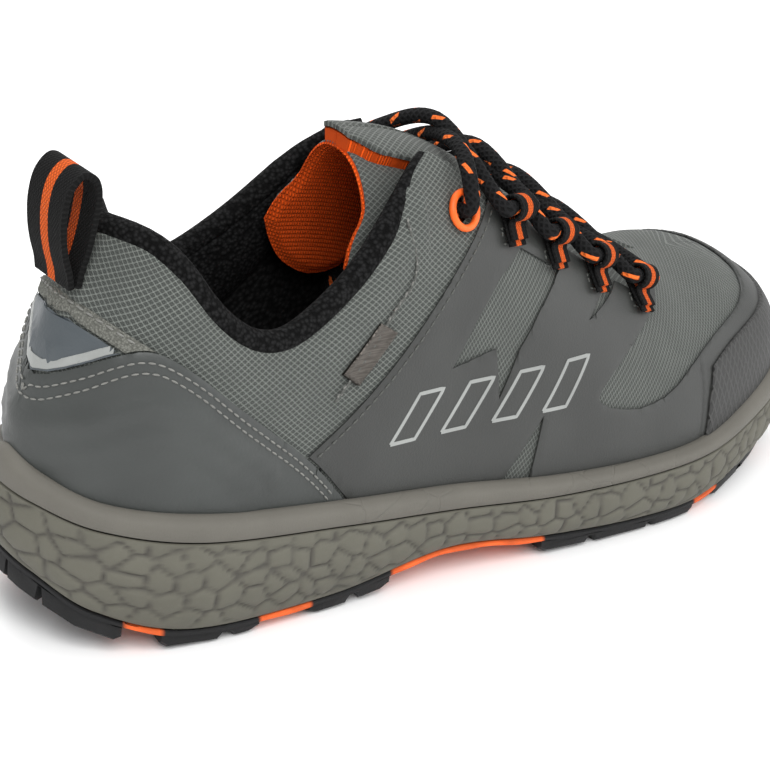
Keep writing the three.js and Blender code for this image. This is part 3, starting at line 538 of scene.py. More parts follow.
def filmFinish(name, colour, roughness, grain):
    m, shader = newMaterial(name, colour, roughness)
    place = objectPlace(m)
    broad, fine = noise(m, place, 40, 2), noise(m, place, grain, 3)
    colourFrom(m, shader, mixColour(m, ramp(m, broad, 0.3, 0.7), tuple(c * 0.88 for c in colour),
                                    tuple(c * 1.1 for c in colour)))
    bump(m, shader, fine, 0.4, 0.00025)
    return m


def meshFinish(name, ground, thread, pitch, turn, knot):  # an open net of threads over a darker ground
    m, shader = newMaterial(name, ground, 0.85, sheen=0.08, shine=0.25)
    place = clothPlace(m)
    one = bands(m, clothPlace(m, turn), pitch)
    two = bands(m, clothPlace(m, -turn), pitch)
    net = mathNode(m, "MAXIMUM", ramp(m, one, 0.72, 0.95), ramp(m, two, 0.72, 0.95))
    nodes = ramp(m, mathNode(m, "MULTIPLY", one, two), 0.55, 0.9)
    yarn = mathNode(m, "MULTIPLY", bands(m, place, 0.55, "X"), bands(m, place, 0.5, "Y"))
    tone = mixColour(m, ramp(m, yarn, 0.1, 0.6), tuple(c * 0.55 for c in ground), ground)
    tone = mixColour(m, mathNode(m, "MULTIPLY", net, 0.8), tone, thread)
    tone = mixColour(m, mathNode(m, "MULTIPLY", nodes, knot), tone, tuple(min(1, c * 1.5) for c in thread))
    patchy = ramp(m, noise(m, objectPlace(m), 120, 2), 0.3, 0.75)
    colourFrom(m, shader, mixColour(m, mathNode(m, "MULTIPLY", patchy, 0.25), tone,
                                    tuple(c * 0.7 for c in ground)))
    height = mathNode(m, "ADD", mathNode(m, "MULTIPLY", net, 0.8), mathNode(m, "MULTIPLY", yarn, 0.35))
    bump(m, shader, height, 0.7, 0.0005)
    return m


def knitFinish(name, colour, pitch, sheen=0.4, loopLightAndShade=0.5):  # short looped pile, with painted highlights on the loop tops and painted shade in the gaps between loops
    m, shader = newMaterial(name, colour, 0.95, sheen=sheen, shine=0.12)
    place = objectPlace(m)
    loops = addNode(m, "ShaderNodeTexVoronoi", {}, Vector=place, Scale=1 / (pitch * mm)).outputs["Distance"]
    fuzz = noise(m, place, 2500, 2)
    # the lighter copy on the loop tops is a painted highlight, the darker copy in the gaps a painted shade
    tone = mixColour(m, ramp(m, loops, 0.1, 0.75), tuple(min(1, c * (1 + loopLightAndShade) + 0.004)
            for c in colour), tuple(c * (1 - loopLightAndShade) for c in colour))
    colourFrom(m, shader, tone)
    height = mathNode(m, "SUBTRACT", mathNode(m, "MULTIPLY", fuzz, 0.5), loops)
    bump(m, shader, height, 0.8, 0.0007)
    return m


def ribKnitFinish(name, colour, pitch):  # the tongue's lining: rows of raised ribs crossed by a fine rib
    m, shader = newMaterial(name, colour, 0.9, shine=0.15)
    place = clothPlace(m)
    across, along = bands(m, place, pitch * 0.62, "X"), bands(m, place, pitch, "Y")
    cell = mathNode(m, "MULTIPLY", ramp(m, across, 0.1, 0.8), ramp(m, along, 0.1, 0.7))
    colourFrom(m, shader, mixColour(m, cell, tuple(c * 0.55 for c in colour),
                                    tuple(min(1, c * 1.1) for c in colour)))
    bump(m, shader, mathNode(m, "ADD", cell, mathNode(m, "MULTIPLY", noise(m, place, 5, 2), 0.3)), 0.8,
         0.0008)
    return m


def webbingFinish(name, colour, stripe, stripeHalf, wide):  # the strap's v runs across it in millimetres
    m, shader = newMaterial(name, colour, 0.85, shine=0.15)
    place = clothPlace(m)
    parts = addNode(m, "ShaderNodeSeparateXYZ", {}, Vector=place)
    v = mathNode(m, "ABSOLUTE", parts.outputs["Y"], 0.0)
    mark = mathNode(m, "LESS_THAN", v, stripeHalf)
    ribs = bands(m, clothPlace(m, 0.95), 0.8)
    ribs2 = bands(m, clothPlace(m, -0.95), 0.8)
    twill = mathNode(m, "MULTIPLY", ribs, ribs2)
    tone = mixColour(m, mark, colour, stripe)
    colourFrom(m, shader, mixColour(m, ramp(m, twill, 0.0, 0.45), mixColour(m, 0.55, tone, (0, 0, 0)), tone))
    bump(m, shader, mathNode(m, "ADD", twill, ramp(m, v, wide - 1.2, wide)), 0.7, 0.0005)
    return m


def laceFinish(name, colour, fleck):  # u along the lace, v round it, in millimetres
    m, shader = newMaterial(name, colour, 0.85, shine=0.15)
    one, two = bands(m, clothPlace(m, 0.72), 1.5), bands(m, clothPlace(m, -0.72), 1.5)
    braid = mathNode(m, "MAXIMUM", one, two)
    parts = addNode(m, "ShaderNodeSeparateXYZ", {}, Vector=clothPlace(m))
    spin = mathNode(m, "ADD", parts.outputs["Y"], mathNode(m, "MULTIPLY", parts.outputs["X"], 0.55))
    dash = ramp(m, mathNode(m, "SINE", mathNode(m, "MULTIPLY", spin, 2 * math.pi / 6.9), 0.0), 0.8, 0.87)
    beat = ramp(m, mathNode(m, "SINE", mathNode(m, "MULTIPLY", parts.outputs["X"], 2 * math.pi / 7.2), 0.0),
                0.1, 0.35)
    flecks = mathNode(m, "MULTIPLY", dash, beat)
    tone = mixColour(m, ramp(m, braid, 0.35, 0.8), tuple(c * 0.4 for c in colour), colour)
    colourFrom(m, shader, mixColour(m, flecks, tone, fleck))
    bump(m, shader, braid, 0.8, 0.0006)
    return m


def metalFinish(name, colour, roughness):
    m, shader = newMaterial(name, colour, roughness, metallic=1.0)
    place = objectPlace(m)
    brushed = addNode(m, "ShaderNodeMapping", {}, Vector=place, Scale=(250, 250, 4000))
    lines = noise(m, brushed.outputs["Vector"], 1.0, 3)
    colourFrom(m, shader, mixColour(m, ramp(m, lines, 0.3, 0.7), tuple(c * 0.7 for c in colour),
                                    tuple(min(1, c * 1.2) for c in colour)))
    bump(m, shader, lines, 0.3, 0.0002)
    return m


def threadFinish(name, colour):
    m, shader = newMaterial(name, colour, 0.7)
    twist = addNode(m, "ShaderNodeTexWave", {"bands_direction": "DIAGONAL"}, Vector=objectPlace(m),
                    Scale=450.0).outputs["Fac"]
    colourFrom(m, shader, mixColour(m, twist, tuple(c * 0.75 for c in colour), colour))
    bump(m, shader, twist, 0.4, 0.0002)
    return m


def bumperFinish(name, colour):  # moulded guard with a fine raised lattice
    m, shader = newMaterial(name, colour, 0.6)
    one, two = bands(m, clothPlace(m, 0.5), 2.6), bands(m, clothPlace(m, -0.5), 2.6)
    lattice = mathNode(m, "MAXIMUM", ramp(m, one, 0.7, 0.95), ramp(m, two, 0.7, 0.95))
    colourFrom(m, shader, mixColour(m, lattice, tuple(c * 0.7 for c in colour),
                                    tuple(c * 1.35 for c in colour)))
    bump(m, shader, mathNode(m, "ADD", lattice, mathNode(m, "MULTIPLY", noise(m, objectPlace(m), 1500, 2),
            0.3)), 0.6, 0.0005)
    return m


paint = {
    # the second foam colour is the painted shade laid into the cracks of the pebbled wall
    "foam": (0.104, 0.1, 0.078), "foamPaintedCrackShade": (0.05, 0.046, 0.038), "rim": (0.118, 0.111, 0.094),
    "film": (0.031, 0.0325, 0.0305),
    "counter": (0.036, 0.040, 0.038), "meshGround": (0.078, 0.086, 0.079), "meshThread": (0.15, 0.162, 0.148),
    "silver": (0.27, 0.28, 0.27), "badge": (0.055, 0.066, 0.074),
}
foamMaterial = foamFinish("midsoleFoam", paint["foam"], paint["foamPaintedCrackShade"], False)
rimMaterial = foamFinish("midsoleRimFoam", paint["rim"], paint["foamPaintedCrackShade"], True)
outsoleMaterial = rubberFinish("orangeRubber", (0.74, 0.115, 0.02), wrap=(0.0075, 0.0075, 0.008))
lugMaterial = rubberFinish("blackRubber", (0.0075, 0.0075, 0.008), 0.6)
quarterMaterial = meshFinish("quarterNet", paint["meshGround"], paint["meshThread"], 1.35, 0.96, 0.5)
vampMaterial = meshFinish("vampNet", (0.08, 0.087, 0.08), (0.14, 0.15, 0.138), 1.15, 0.6, 0.4)
filmMaterial = filmFinish("overlayFilm", paint["film"], 0.52, 1800)
counterMaterial = filmFinish("counterShell", paint["counter"], 0.46, 900)
badgeMaterial = filmFinish("badgeSkin", paint["badge"], 0.42, 1200)
silverMaterial = filmFinish("silverPrint", paint["silver"], 0.35, 1600)
tapeMaterial = knitFinish("trimTape", (0.15, 0.152, 0.135), 0.7, 0.0, 0.25)
collarMaterial = knitFinish("collarKnit", (0.0065, 0.0065, 0.0067), 1.1, 0.0, 0.7)
liningMaterial = knitFinish("liningKnit", (0.006, 0.006, 0.006), 1.6, 0.0, 0.6)
tongueMaterial = meshFinish("tongueNet", (0.08, 0.087, 0.08), (0.14, 0.15, 0.138), 1.5, 0.9, 0.35)
tongueKnitMaterial = ribKnitFinish("tongueRibKnit", (0.86, 0.1, 0.008), 1.5)
labelMaterial = filmFinish("labelSkin", (0.15, 0.147, 0.14), 0.6, 1500)
webbingMaterial = webbingFinish("stripedWebbing", (0.0075, 0.0075, 0.0075), (0.80, 0.13, 0.02), 1.7, 8.0)
loopMaterial = webbingFinish("loopWebbing", (0.0075, 0.0075, 0.0075), (0.80, 0.13, 0.02), 1.3, 4.0)
laceMaterial = laceFinish("braidedLace", (0.009, 0.009, 0.0095), (0.82, 0.16, 0.03))
ringMaterial = rubberFinish("ringLacquer", (0.80, 0.12, 0.015), 0.4)
plaqueMaterial = metalFinish("plaqueMetal", (0.11, 0.1, 0.09), 0.4)
threadMaterial = threadFinish("lightThread", (0.2, 0.2, 0.185))
darkThreadMaterial = threadFinish("darkThread", (0.085, 0.088, 0.08))
bumperMaterial = bumperFinish("bumperRubber", (0.026, 0.026, 0.025))
boardMaterial = filmFinish("boardPulp", (0.45, 0.42, 0.34), 0.8, 700)
stiffenerMaterial = filmFinish("stiffenerSheet", (0.5, 0.49, 0.46), 0.7, 900)
sockMaterial = knitFinish("sockKnit", (0.01, 0.01, 0.01), 0.9, 0.0, 0.5)
print("materials made")

# sole
random.seed(7)
pebble = {"across": 7.8, "tall": 5.8, "depth": 0.85, "round": 1.25, "crack": 0.4}
layerGap, soleGap, rimWall = 0.4, 0.3, 5.4


def pebbleSkin(grid, reliefs):  # cracked cells pressed into the foam's side, with painted shade in the cracks between them
    m, n = grid.shape[:2]
    arc = arcOf(ringStations)
    whole = arcOf(24) - arcOf(0)
    arc = np.mod(arc, whole)
    count = int(whole / pebble["across"])
    seeds = []
    for j in range(-1, 6):
        for i in range(count):
            shift = 0.5 * (j % 2)
            seeds.append(((i + shift + random.uniform(-0.38, 0.38)) * whole / count,
                          (j + random.uniform(-0.36, 0.36)) * pebble["tall"]))
    seeds = np.array(seeds)
    out = grid.copy()
    height = np.zeros((m, n))
    down = station(ringStations, grooveAt)
    for i in range(m):
        dz = (down - grid[i, :, 2])[:, None] - seeds[None, :, 1]
        da = np.abs(arc[:, None] - seeds[None, :, 0])
        da = np.minimum(da, whole - da)
        far = np.sort(np.hypot(da, dz * 1.15), axis=1)
        gap = far[:, 1] - far[:, 0]
        body = 1 - np.exp(-np.maximum(gap - pebble["crack"] * 0.5, 0) / pebble["round"])
        height[i] = body
    share = np.array([row[0] for row in reliefs])
    cx = np.clip(grid[:, :, 0], heelPole, toePole)
    away = grid[:, :, :2] - np.stack([cx, spineAt(cx)], -1)
    away /= np.maximum(np.linalg.norm(away, axis=2, keepdims=True), 1e-9)
    push = (height - 0.75) * pebble["depth"] * share[:, None]
    out[:, :, :2] += away * push[:, :, None]
    # 1 on the pebble tops, falling to 0 in the cracks, where foamFinish paints shade
    crackShadeMask = 1 - share[:, None] * (1 - np.clip(height * 1.6, 0, 1))
    return out, crackShadeMask


def blendHeights(low, high, f):
    return lambda t: low(t) + (high(t) - low(t)) * f


def groove(t):
    return station(t, grooveAt)


def foamFoot(t):
    return station(t, footAt)


def rim(t):
    return station(t, rimAt)


rows = [(60, foamFoot, 0), (18, foamFoot, 0), (4.5, foamFoot, 0), (2.4, lambda t: foamFoot(t) + 0.25, 0.3)]
steps = 34
for k in range(steps + 1):
    f = k / steps
    bulge = (2.0 - 2.7 * math.sin(math.pi * min(1.0, f * 1.08)) ** 0.8 if f < 0.5 else -0.7 + 1.1
             * ((f - 0.5) / 0.5) ** 1.6)
    share = min(1.0, f / 0.08, (1 - f) / 0.05)
    rows.append((bulge, blendHeights(lambda t: foamFoot(t) + 0.5, lambda t: groove(t) - 0.5, f),
                 max(share, 0)))
rows += [(0.9, lambda t: groove(t) - 0.35, 0), (rimWall - 1, lambda t: rim(t) - 8.8, 0),
         (60, lambda t: rim(t) - 8.8, 0)]
dress(soleLoops("midsolePebbleWall", rows, pebbleSkin), foamMaterial, nodes=["midsole_lower"])

rows = [(60, lambda t: rim(t) - 8.1, 0), (rimWall - 1, lambda t: rim(t) - 8.1, 0),
        (1.6, lambda t: groove(t) - 0.05, 0)]
for k in range(13):
    f = k / 12
    inset = 0.55 - 0.35 * math.sin(math.pi * min(f * 1.4, 1)) + 2.3 * max(0, (f - 0.62) / 0.38) ** 2.2
    rows.append((inset, blendHeights(lambda t: groove(t) + 0.25, rim, f), 1))
rows += [(3.4, lambda t: rim(t) + 0.15, 1), (4.4, lambda t: rim(t) + 0.1, 1),
         (rimWall, lambda t: rim(t) - 0.3, 1),
         (rimWall, lambda t: rim(t) - 6.6, 1), (60, lambda t: rim(t) - 6.6, 1)]
rows = [(inset, height, 1) for inset, height, _ in rows]
dress(soleLoops("midsoleRimBand", rows), rimMaterial, nodes=["midsole_rim"])

outsole = {"thick": 1.6, "inset": 2.1, "wave": 0.35}


def sheetTop(t):
    return foamFoot(t) - soleGap


def sheetFoot(t):
    return sheetTop(t) - outsole["thick"] - outsole["wave"] * (1 + np.sin(arcOf(t) / 3.1)) * 0.5


rows = [(60, sheetFoot, 1), (6, sheetFoot, 1), (2.9, sheetFoot, 1),
        (outsole["inset"], lambda t: sheetFoot(t) + 0.4, 1),
        (outsole["inset"], lambda t: sheetTop(t) - 0.4, 1), (2.6, sheetTop, 1), (60, sheetTop, 1)]
lugSpans = [(-1.95, 2.35), (2.75, 3.5), (3.85, 4.5), (6.0, 8.0), (8.45, 9.9), (10.35, 13.6), (14.1, 15.4),
            (16.0, 18.0), (19.5, 20.15),
            (20.5, 21.45), (22.05, 24.1)]


def wrapMask(grid, reliefs):  # the black lug rubber is carried up over the orange sheet where a lug stands
    covered = np.zeros(grid.shape[1])
    for low, high in lugSpans:
        at = np.mod(ringStations - low + 12, 24) - 12
        covered = np.maximum(covered, (at > 0) & (at < high - low))
    return grid, np.tile(covered, (grid.shape[0], 1))


sheet = soleLoops("outsoleOrangeSheet", rows, wrapMask)
dress(sheet, outsoleMaterial, nodes=["outsole_sheet"])


# a merged copy of a CAD part with its edges taken off
def chamfered(node, width, material, body="shoe"):
    copy = bpy.data.objects.new(node + "Cut", frame["nodes"][node].data.copy())
    bpy.context.collection.objects.link(copy)
    work = bmesh.new()
    work.from_mesh(copy.data)
    bmesh.ops.remove_doubles(work, verts=work.verts, dist=1e-6)
    bmesh.ops.dissolve_limit(work, angle_limit=math.radians(3), verts=work.verts, edges=work.edges)
    work.to_mesh(copy.data)
    work.free()
    bpy.ops.object.select_all(action="DESELECT")
    bpy.context.view_layer.objects.active = copy
    copy.select_set(True)
    if width:
        bevel = copy.modifiers.new("Bevel", "BEVEL")
        bevel.width, bevel.segments = width * mm, 2
        bevel.limit_method, bevel.angle_limit = "ANGLE", math.radians(28)
        bevel.harden_normals = False
        bpy.ops.object.modifier_apply(modifier="Bevel")
    bpy.ops.object.shade_smooth_by_angle(angle=math.radians(30))
    copy.select_set(False)
    return dress(copy, material, body, [node])


for node in [n for n in frame["nodes"] if n.startswith("lugs_")]:
    chamfered(node, 0.7, lugMaterial)
chamfered("insole_board", 0, boardMaterial)
print("sole made")

# outlines of the upper, as x and z in the side view
topline = [(-30, 111), (14, 111), (21, 109), (28, 111.5), (35, 105), (43, 92.5), (53, 84.5), (61, 82.3),
           (69, 83.8), (85.5, 94), (98, 105.5), (104, 113), (112, 119), (121, 121.5)]
throat = [(104, 11), (121, 15), (135, 18.5), (150, 22.5), (180, 25.5), (200, 26), (212, 23), (218, 14),
          (219.5, 4)]
filmRear = [(74, 49), (85.5, 57), (100, 69.5), (116, 86), (124, 94), (138.5, 107), (146, 116)]
counterTop = [(-30, 67), (5, 67), (14.5, 76.5), (20.5, 82), (27.5, 84), (34.5, 80), (44, 72), (53, 64.5),
              (74, 48.5), (89, 32)]
windowUpper = [(147.5, 92.5), (163, 84), (153.5, 76), (145, 66), (139, 53), (136.5, 68), (121, 65),
               (129, 77), (137.5, 86.5)]
windowSlit = [(189.5, 79), (195.5, 75), (173.5, 69)]
windowLower = [(156, 45.5), (139, 20), (153.5, 20)]
vampWindow = [(221, 74), (214.5, 65), (198.5, 61.5), (185.5, 55), (176, 47.5), (180, 43.5), (192, 40.5),
              (199, 40.5),
              (208.5, 42), (222, 48.5), (239.5, 53), (258, 56), (268, 60), (269, 76)]
toePatch = [(224.5, 10), (227, 44), (237, 47.5), (248, 50), (270, 52), (320, 53), (320, 10)]
plaqueLine = [(93.5, 82.3), (99.5, 78.7), (87.5, 66.5), (82, 70.5)]
trimLine = [(-30, 95.5), (11, 95.5), (19, 90), (27.5, 84)]
badgeTop = [(-30, 89.5), (10, 89.5), (19, 84.5), (20.5, 83)]
meshOut, overIn, filmOut, counterOut = 1.2, 1.6, 2.4, 3.1
liningOut, liningIn = -2.0, -3.0
seamLine = [(79, -50), (79, 30), *shifted(filmRear, 5, 0), (170, 250)]


def closedLoop(points):
    return [*points, points[0]]


def rounded(points, turns=2):  # corner cutting, so that cut edges run smoothly
    for _ in range(turns):
        out = [points[0]]
        for a, b in zip(points[:-1], points[1:]):
            out += [(a[0] * 0.75 + b[0] * 0.25, a[1] * 0.75 + b[1] * 0.25),
                    (a[0] * 0.25 + b[0] * 0.75, a[1] * 0.25 + b[1] * 0.75)]
        points = [*out, points[-1]]
    return points


topline = rounded(topline)
filmRear = rounded(filmRear)
counterTop = rounded(counterTop)
trimLine = rounded(trimLine)
badgeTop = rounded(badgeTop)
vampWindow = rounded(closedLoop(vampWindow), 1)[:-1]
toePatch = rounded(toePatch, 1)


def throatEdge(side, grow=0.0):
    half = rounded([(x + (grow if x > 215 else 0), y + grow) for x, y in throat])
    return [(x, spineAt(x) + side * y) for x, y in half]


def inThroat(x, y, grow=0.0):
    return inside([*throatEdge(-1, grow), *throatEdge(1, grow)[::-1]], x, y)


def topLine(points, gap=1.6):
    found = findPlace(topTree, dense(points, gap))
    return [tuple(f[:2]) for f in found if f[2] < 0.8]


throatLines = {side: topLine([(float(a), float(b)) for a, b in throatEdge(side)]) for side in (-1, 1)}
eyelet = {"x": 125.5, -1: 0.92, 1: 0.77, "hole": 7.8, "wire": 2.0}


def eyeletAt(side):
    t = float(stationAt(side, eyelet["x"]))
    _, rise, out = outwardAt(t, eyelet[side])
    along = np.cross(rise, out) * -side
    return dome(t, eyelet[side], meshOut), along, rise, out, t


def ringLine(side, radius):  # a circle round the eyelet, laid on the dome
    centre, along, rise, out, t = eyeletAt(side)
    loop = []
    for k in range(25):
        a = 2 * math.pi * k / 24
        p = centre + radius * (math.cos(a) * along + math.sin(a) * rise)
        loop.append((float(p[0]), float(p[2])))
    return [tuple(f[:2]) for f in findPlace(sideTrees[side], loop)]


eyeCentres = {side: eyeletAt(side)[0] for side in (-1, 1)}


def nearEyelet(x, y, z, radius):
    near = np.zeros(len(x), bool)
    for c in eyeCentres.values():
        near |= (x - c[0])**2 + (y - c[1])**2 + (z - c[2])**2 < radius**2 + 2.2
    return near


halves = {-1: (0.0, 12.0), 1: (12.0, 24.0)}
words = {-1: "lateral", 1: "medial"}
behindSeam = [*seamLine, (-50, 250), (-50, -50)]
for side in (-1, 1):
    def keepQuarter(x, y, z, t, a):
        return ((z < lineHeight(topline, x)) & inside(behindSeam, x, z) & ~inThroat(x, y)
                & ~nearEyelet(x, y, z, eyelet["hole"] / 2 - 0.2))

    def quarterDepth(x, y, z, t):  # the padded collar shows through the net as a soft swell below its edge
        edge = lineHeight(topline, x)
        under = edge - z
        swell = 1.5 * np.exp(-((under - 13) / 8.0) ** 2) * (x < 112)
        return meshOut + swell * np.clip(under / 5, 0, 1)
    lines = [sideLine(side, topline), sideLine(side, [p for p in seamLine if p[1] < 130 and p[1] > 0]),
             throatLines[side],
             ringLine(side, eyelet["hole"] / 2)]
    quarter = layPatch("quarterNet" + words[side].capitalize(), halves[side], lines, keepQuarter,
                       quarterDepth, 0.0, soften=0.5)
    dress(quarter, quarterMaterial, nodes=["quarter_mesh_" + words[side]])
print("quarters made")

frontSpan = (float(stationAt(-1, 78)), float(stationAt(1, 78)))


def keepVamp(x, y, z, t, a):
    return (~inside([(p[0] + 0.4, p[1]) for p in seamLine] + [(-50, 250), (-50, -50)], x, z)
            & ~inThroat(x, y) & (x < 300))


lines = ([sideLine(s, [p for p in shifted(seamLine, 0.4, 0) if 0 < p[1] < 130]) for s in (-1, 1)]
         + list(throatLines.values()))
vamp = layPatch("vampNetPanel", frontSpan, lines, keepVamp, meshOut, 0.0, uvKind="over", gap=2.0)
dress(vamp, vampMaterial, nodes=["vamp_mesh"])
print("vamp made")

# the fused overlay: side panels with windows, then the toe cap
windows = [windowUpper, windowSlit, windowLower, vampWindow]
filmBehind = [(60, -50), (60, 38), *filmRear, (170, 250), (-50, 250), (-50, -50)]
counterShift = shifted(counterTop, 1.2, 0)


def keepFilm(x, y, z, t, a):
    out = ~inside(filmBehind, x, z) & ~inThroat(x, y, 0.0)
    for window in windows:
        out &= ~inside(window, x, z)
    out &= ~(z < lineHeight(counterShift, x, right=-50))
    return out & ~nearEyelet(x, y, z, eyelet["hole"] / 2 + 1.0)


def filmLines(side):
    cuts = [sideLine(side, closedLoop(w)) for w in windows]
    return cuts + [sideLine(side, filmRear), sideLine(side, [p for p in counterShift if p[0] > 60]),
                   throatLines[side],
                   ringLine(side, eyelet["hole"] / 2 + 1.2)]


rimRise = 0.0
for side in (-1, 1):
    def keepSide(x, y, z, t, a):
        return keepFilm(x, y, z, t, a) & (x < 224)
    film = layPatch("overlayFilm" + words[side].capitalize(), halves[side], filmLines(side)
                    + [sideLine(side, [(224, 20), (224, 80)])],
                    keepSide, filmOut, overIn, rise=(rimRise, math.pi / 2), soften=0.35)
    dress(film, filmMaterial, nodes=["film_" + words[side]])
capSpan = (float(stationAt(-1, 222)), float(stationAt(1, 222)))


def keepCap(x, y, z, t, a):
    return keepFilm(x, y, z, t, a) & (x > 224)


lines = ([sideLine(s, closedLoop(vampWindow)) for s in (-1, 1)]
         + [sideLine(s, [(224, 20), (224, 80)]) for s in (-1, 1)])
cap = layPatch("toeCapFilm", capSpan, lines, keepCap, filmOut, overIn, rise=(rimRise, math.pi / 2),
               soften=0.35)
dress(cap, filmMaterial, nodes=["toe_cap"])


def keepPatch(x, y, z, t, a):
    return inside(toePatch, x, z)


lines = [sideLine(s, [p for p in toePatch if p[1] > 15]) for s in (-1, 1)]
bumper = layPatch("toeBumperGuard", capSpan, lines, keepPatch, filmOut + 1.1, filmOut, rise=(rimRise, 1.0),
                  soften=0.5)
dress(bumper, bumperMaterial, nodes=["toe_bumper"])
print("films made")

# heel
heelSpan = (float(stationAt(1, 96)) - 24, float(stationAt(-1, 96)))
counterRibs = [[(3, 56), (12, 62), (27, 71.5), (36, 67), (48, 57), (62, 47)],
               [(3, 50), (12, 55), (27, 63.5), (36, 59), (47, 51), (56, 44.5)]]


def keepCounter(x, y, z, t, a):
    return z < lineHeight(counterTop, x, right=-50)


def counterDepth(x, y, z, t):  # raised moulded ribs and a rolled top edge
    depth = np.full(len(x), counterOut - 0.5)
    for ribLine in counterRibs:
        away = lineDistance(rounded(ribLine), x, z)
        depth += 1.15 * np.exp(-(away / 2.3) ** 2)
    inner = lineDistance(rounded(shifted(counterRibs[1], 0, -9)), x, z)
    return (depth + 0.5 * np.exp(-(inner / 3.0) ** 2) - 0.25
            * np.exp(-(lineDistance(counterTop, x, z) / 1.2) ** 2))


bothSides = [sideLine(-1, counterTop), [(t - 24, a) for t, a in sideLine(1, counterTop)]]
counter = layPatch("heelCounterShell", heelSpan, bothSides, keepCounter, counterDepth, overIn,
                   rise=(rimRise, 1.35), gap=1.4)
dress(counter, counterMaterial, nodes=["heel_counter"])

trimWidth = 5
lowTrim = shifted(trimLine, 0, -trimWidth)


def keepTrim(x, y, z, t, a):
    top = lineHeight(trimLine, x)
    return (z < top) & (z > top - trimWidth) & (z > lineHeight(counterTop, x) + 0.4) & (x < 28)


def bothLines(line):
    return [sideLine(-1, line), [(t - 24, a) for t, a in sideLine(1, line)]]


trim = layPatch("heelTrimTape", heelSpan, bothLines(trimLine) + bothLines(lowTrim)
                + bothLines(shifted(counterTop[:-8], 0, 0.4)),
                keepTrim, overIn + 0.9, overIn, rise=(0.3, 1.45), gap=1.3)
dress(trim, tapeMaterial, nodes=["heel_trim"])


def keepBadge(x, y, z, t, a):
    return (z < lineHeight(badgeTop, x)) & (z > lineHeight(counterTop, x) + 0.5) & (x < 20.5)


def badgeDepth(x, y, z, t):  # a plain raised chevron on the back
    side = np.abs(arcOf(t))
    chevron = np.abs(z - (76.5 + 0.55 * side))
    mark = np.clip(1.4 - chevron, 0, 1) * (side < 7.5)
    return overIn + 0.75 + 0.45 * mark


badge = layPatch("heelBadgePatch", heelSpan, bothLines(badgeTop)
                 + bothLines(shifted(counterTop[:-8], 0, 0.5)), keepBadge, badgeDepth, overIn,
                 rise=(0.3, 1.4), gap=1.0)
dress(badge, badgeMaterial, nodes=["heel_badge"])


def keepBorder(x, y, z, t, a):
    edge = lineHeight(counterTop, x)
    return (z < edge + 2.7) & (z > edge + 0.9) & (x < 22) & (z < lineHeight(badgeTop, x) - 0.3)


border = layPatch("badgeSilverBorder", heelSpan, bothLines(shifted(counterTop[:-8], 0, 2.7))
                  + bothLines(shifted(counterTop[:-8], 0, 0.9)),
                  keepBorder, overIn + 1.0, overIn + 0.5, rise=(0.3, 1.4), gap=1.0)
dress(border, silverMaterial)


def keepPlaque(x, y, z, t, a):
    return inside(plaqueLine, x, z)


def plaqueDepth(x, y, z, t):
    edge = lineDistance(closedLoop(plaqueLine), x, z)
    return counterOut - 0.35 * np.clip((edge - 0.9) / 0.5, 0, 1)


plaque = layPatch("sidePlaqueTab", (0, 8), [sideLine(-1, closedLoop(plaqueLine), 0.5)], keepPlaque,
                  plaqueDepth, overIn, rise=(0.3, 1.3), gap=0.6)
dress(plaque, plaqueMaterial, nodes=["side_plaque"])
print("heel made")

# collar: a foam pad under looped knit, filled by cloth simulation, with a bound edge
collar = {"thick": 6.5, "deep": 30, "end": 107, "binding": 3.3}


def keepCollar(x, y, z, t, a):
    edge = lineHeight(topline, x)
    front = x + 0.35 * (z - edge)
    return ((z < edge + 0.4) & (z > edge - collar["deep"]) & (front < collar["end"] - 6)
            & ~inThroat(x, y, -1.0))


def collarInside(x, y, z, t):  # the pad is fullest a third of the way down and thins to its lower seam
    down = np.clip((lineHeight(topline, x) - z) / collar["deep"], 0, 1)
    crown = np.sin(np.pi * np.clip(down * 0.8 + 0.2, 0, 1)) ** 0.7
    return -0.5 - collar["thick"] * (0.3 + 0.7 * crown) + 0.5


def collarOutside(x, y, z, t):
    return np.full(len(x), -0.5)


collarSpan = (float(stationAt(1, 118)) - 24, float(stationAt(-1, 118)))
collarLines = bothLines(shifted(topline, 0, 0.4)) + bothLines(shifted(topline, 0, -collar["deep"]))
pad = layPatch("collarPadKnit", collarSpan, collarLines, keepCollar, collarOutside, collarInside,
               rise=(0.25, math.pi / 2 - 0.02), gap=1.8)


# cloth simulation; hold picks the points that are sewn down
def fillWithFoam(obj, pressure, cap, frames, hold):
    start = np.array([v.co for v in obj.data.vertices])
    group = obj.vertex_groups.new(name="sewn")
    group.add([int(i) for i in np.nonzero(hold(start))[0]], 1.0, "REPLACE")
    cloth = obj.modifiers.new("Cloth", "CLOTH")
    cloth.settings.quality = 4
    cloth.settings.mass = 0.1
    cloth.settings.tension_stiffness = cloth.settings.compression_stiffness = 12
    cloth.settings.bending_stiffness = 0.4
    cloth.settings.use_pressure = True
    cloth.settings.uniform_pressure_force = pressure
    cloth.settings.vertex_group_mass = "sewn"
    cloth.settings.effector_weights.gravity = 0
    cloth.collision_settings.use_collision = False
    for f in range(1, frames + 1):
        bpy.context.scene.frame_set(f)
    shape = obj.evaluated_get(bpy.context.evaluated_depsgraph_get())
    moved = np.array([v.co for v in shape.data.vertices])
    step = moved - start
    far = np.linalg.norm(step, axis=1, keepdims=True)
    moved = start + step * np.minimum(1, cap * mm / np.maximum(far, 1e-9))
    obj.modifiers.remove(cloth)
    obj.data.vertices.foreach_set("co", moved.astype(np.float32).ravel())
    obj.data.update()
    bpy.context.scene.frame_set(1)


padCount = len(pad.data.vertices) // 2

def sewnCollar(points):  # the outer face lies against the net, so only the inner face may swell
    held = np.ones(len(points), bool)
    held[padCount:] = False
    return held
fillWithFoam(pad, 3.0, 1.2, 12, sewnCollar)
dress(pad, collarMaterial, nodes=["collar_padding"])


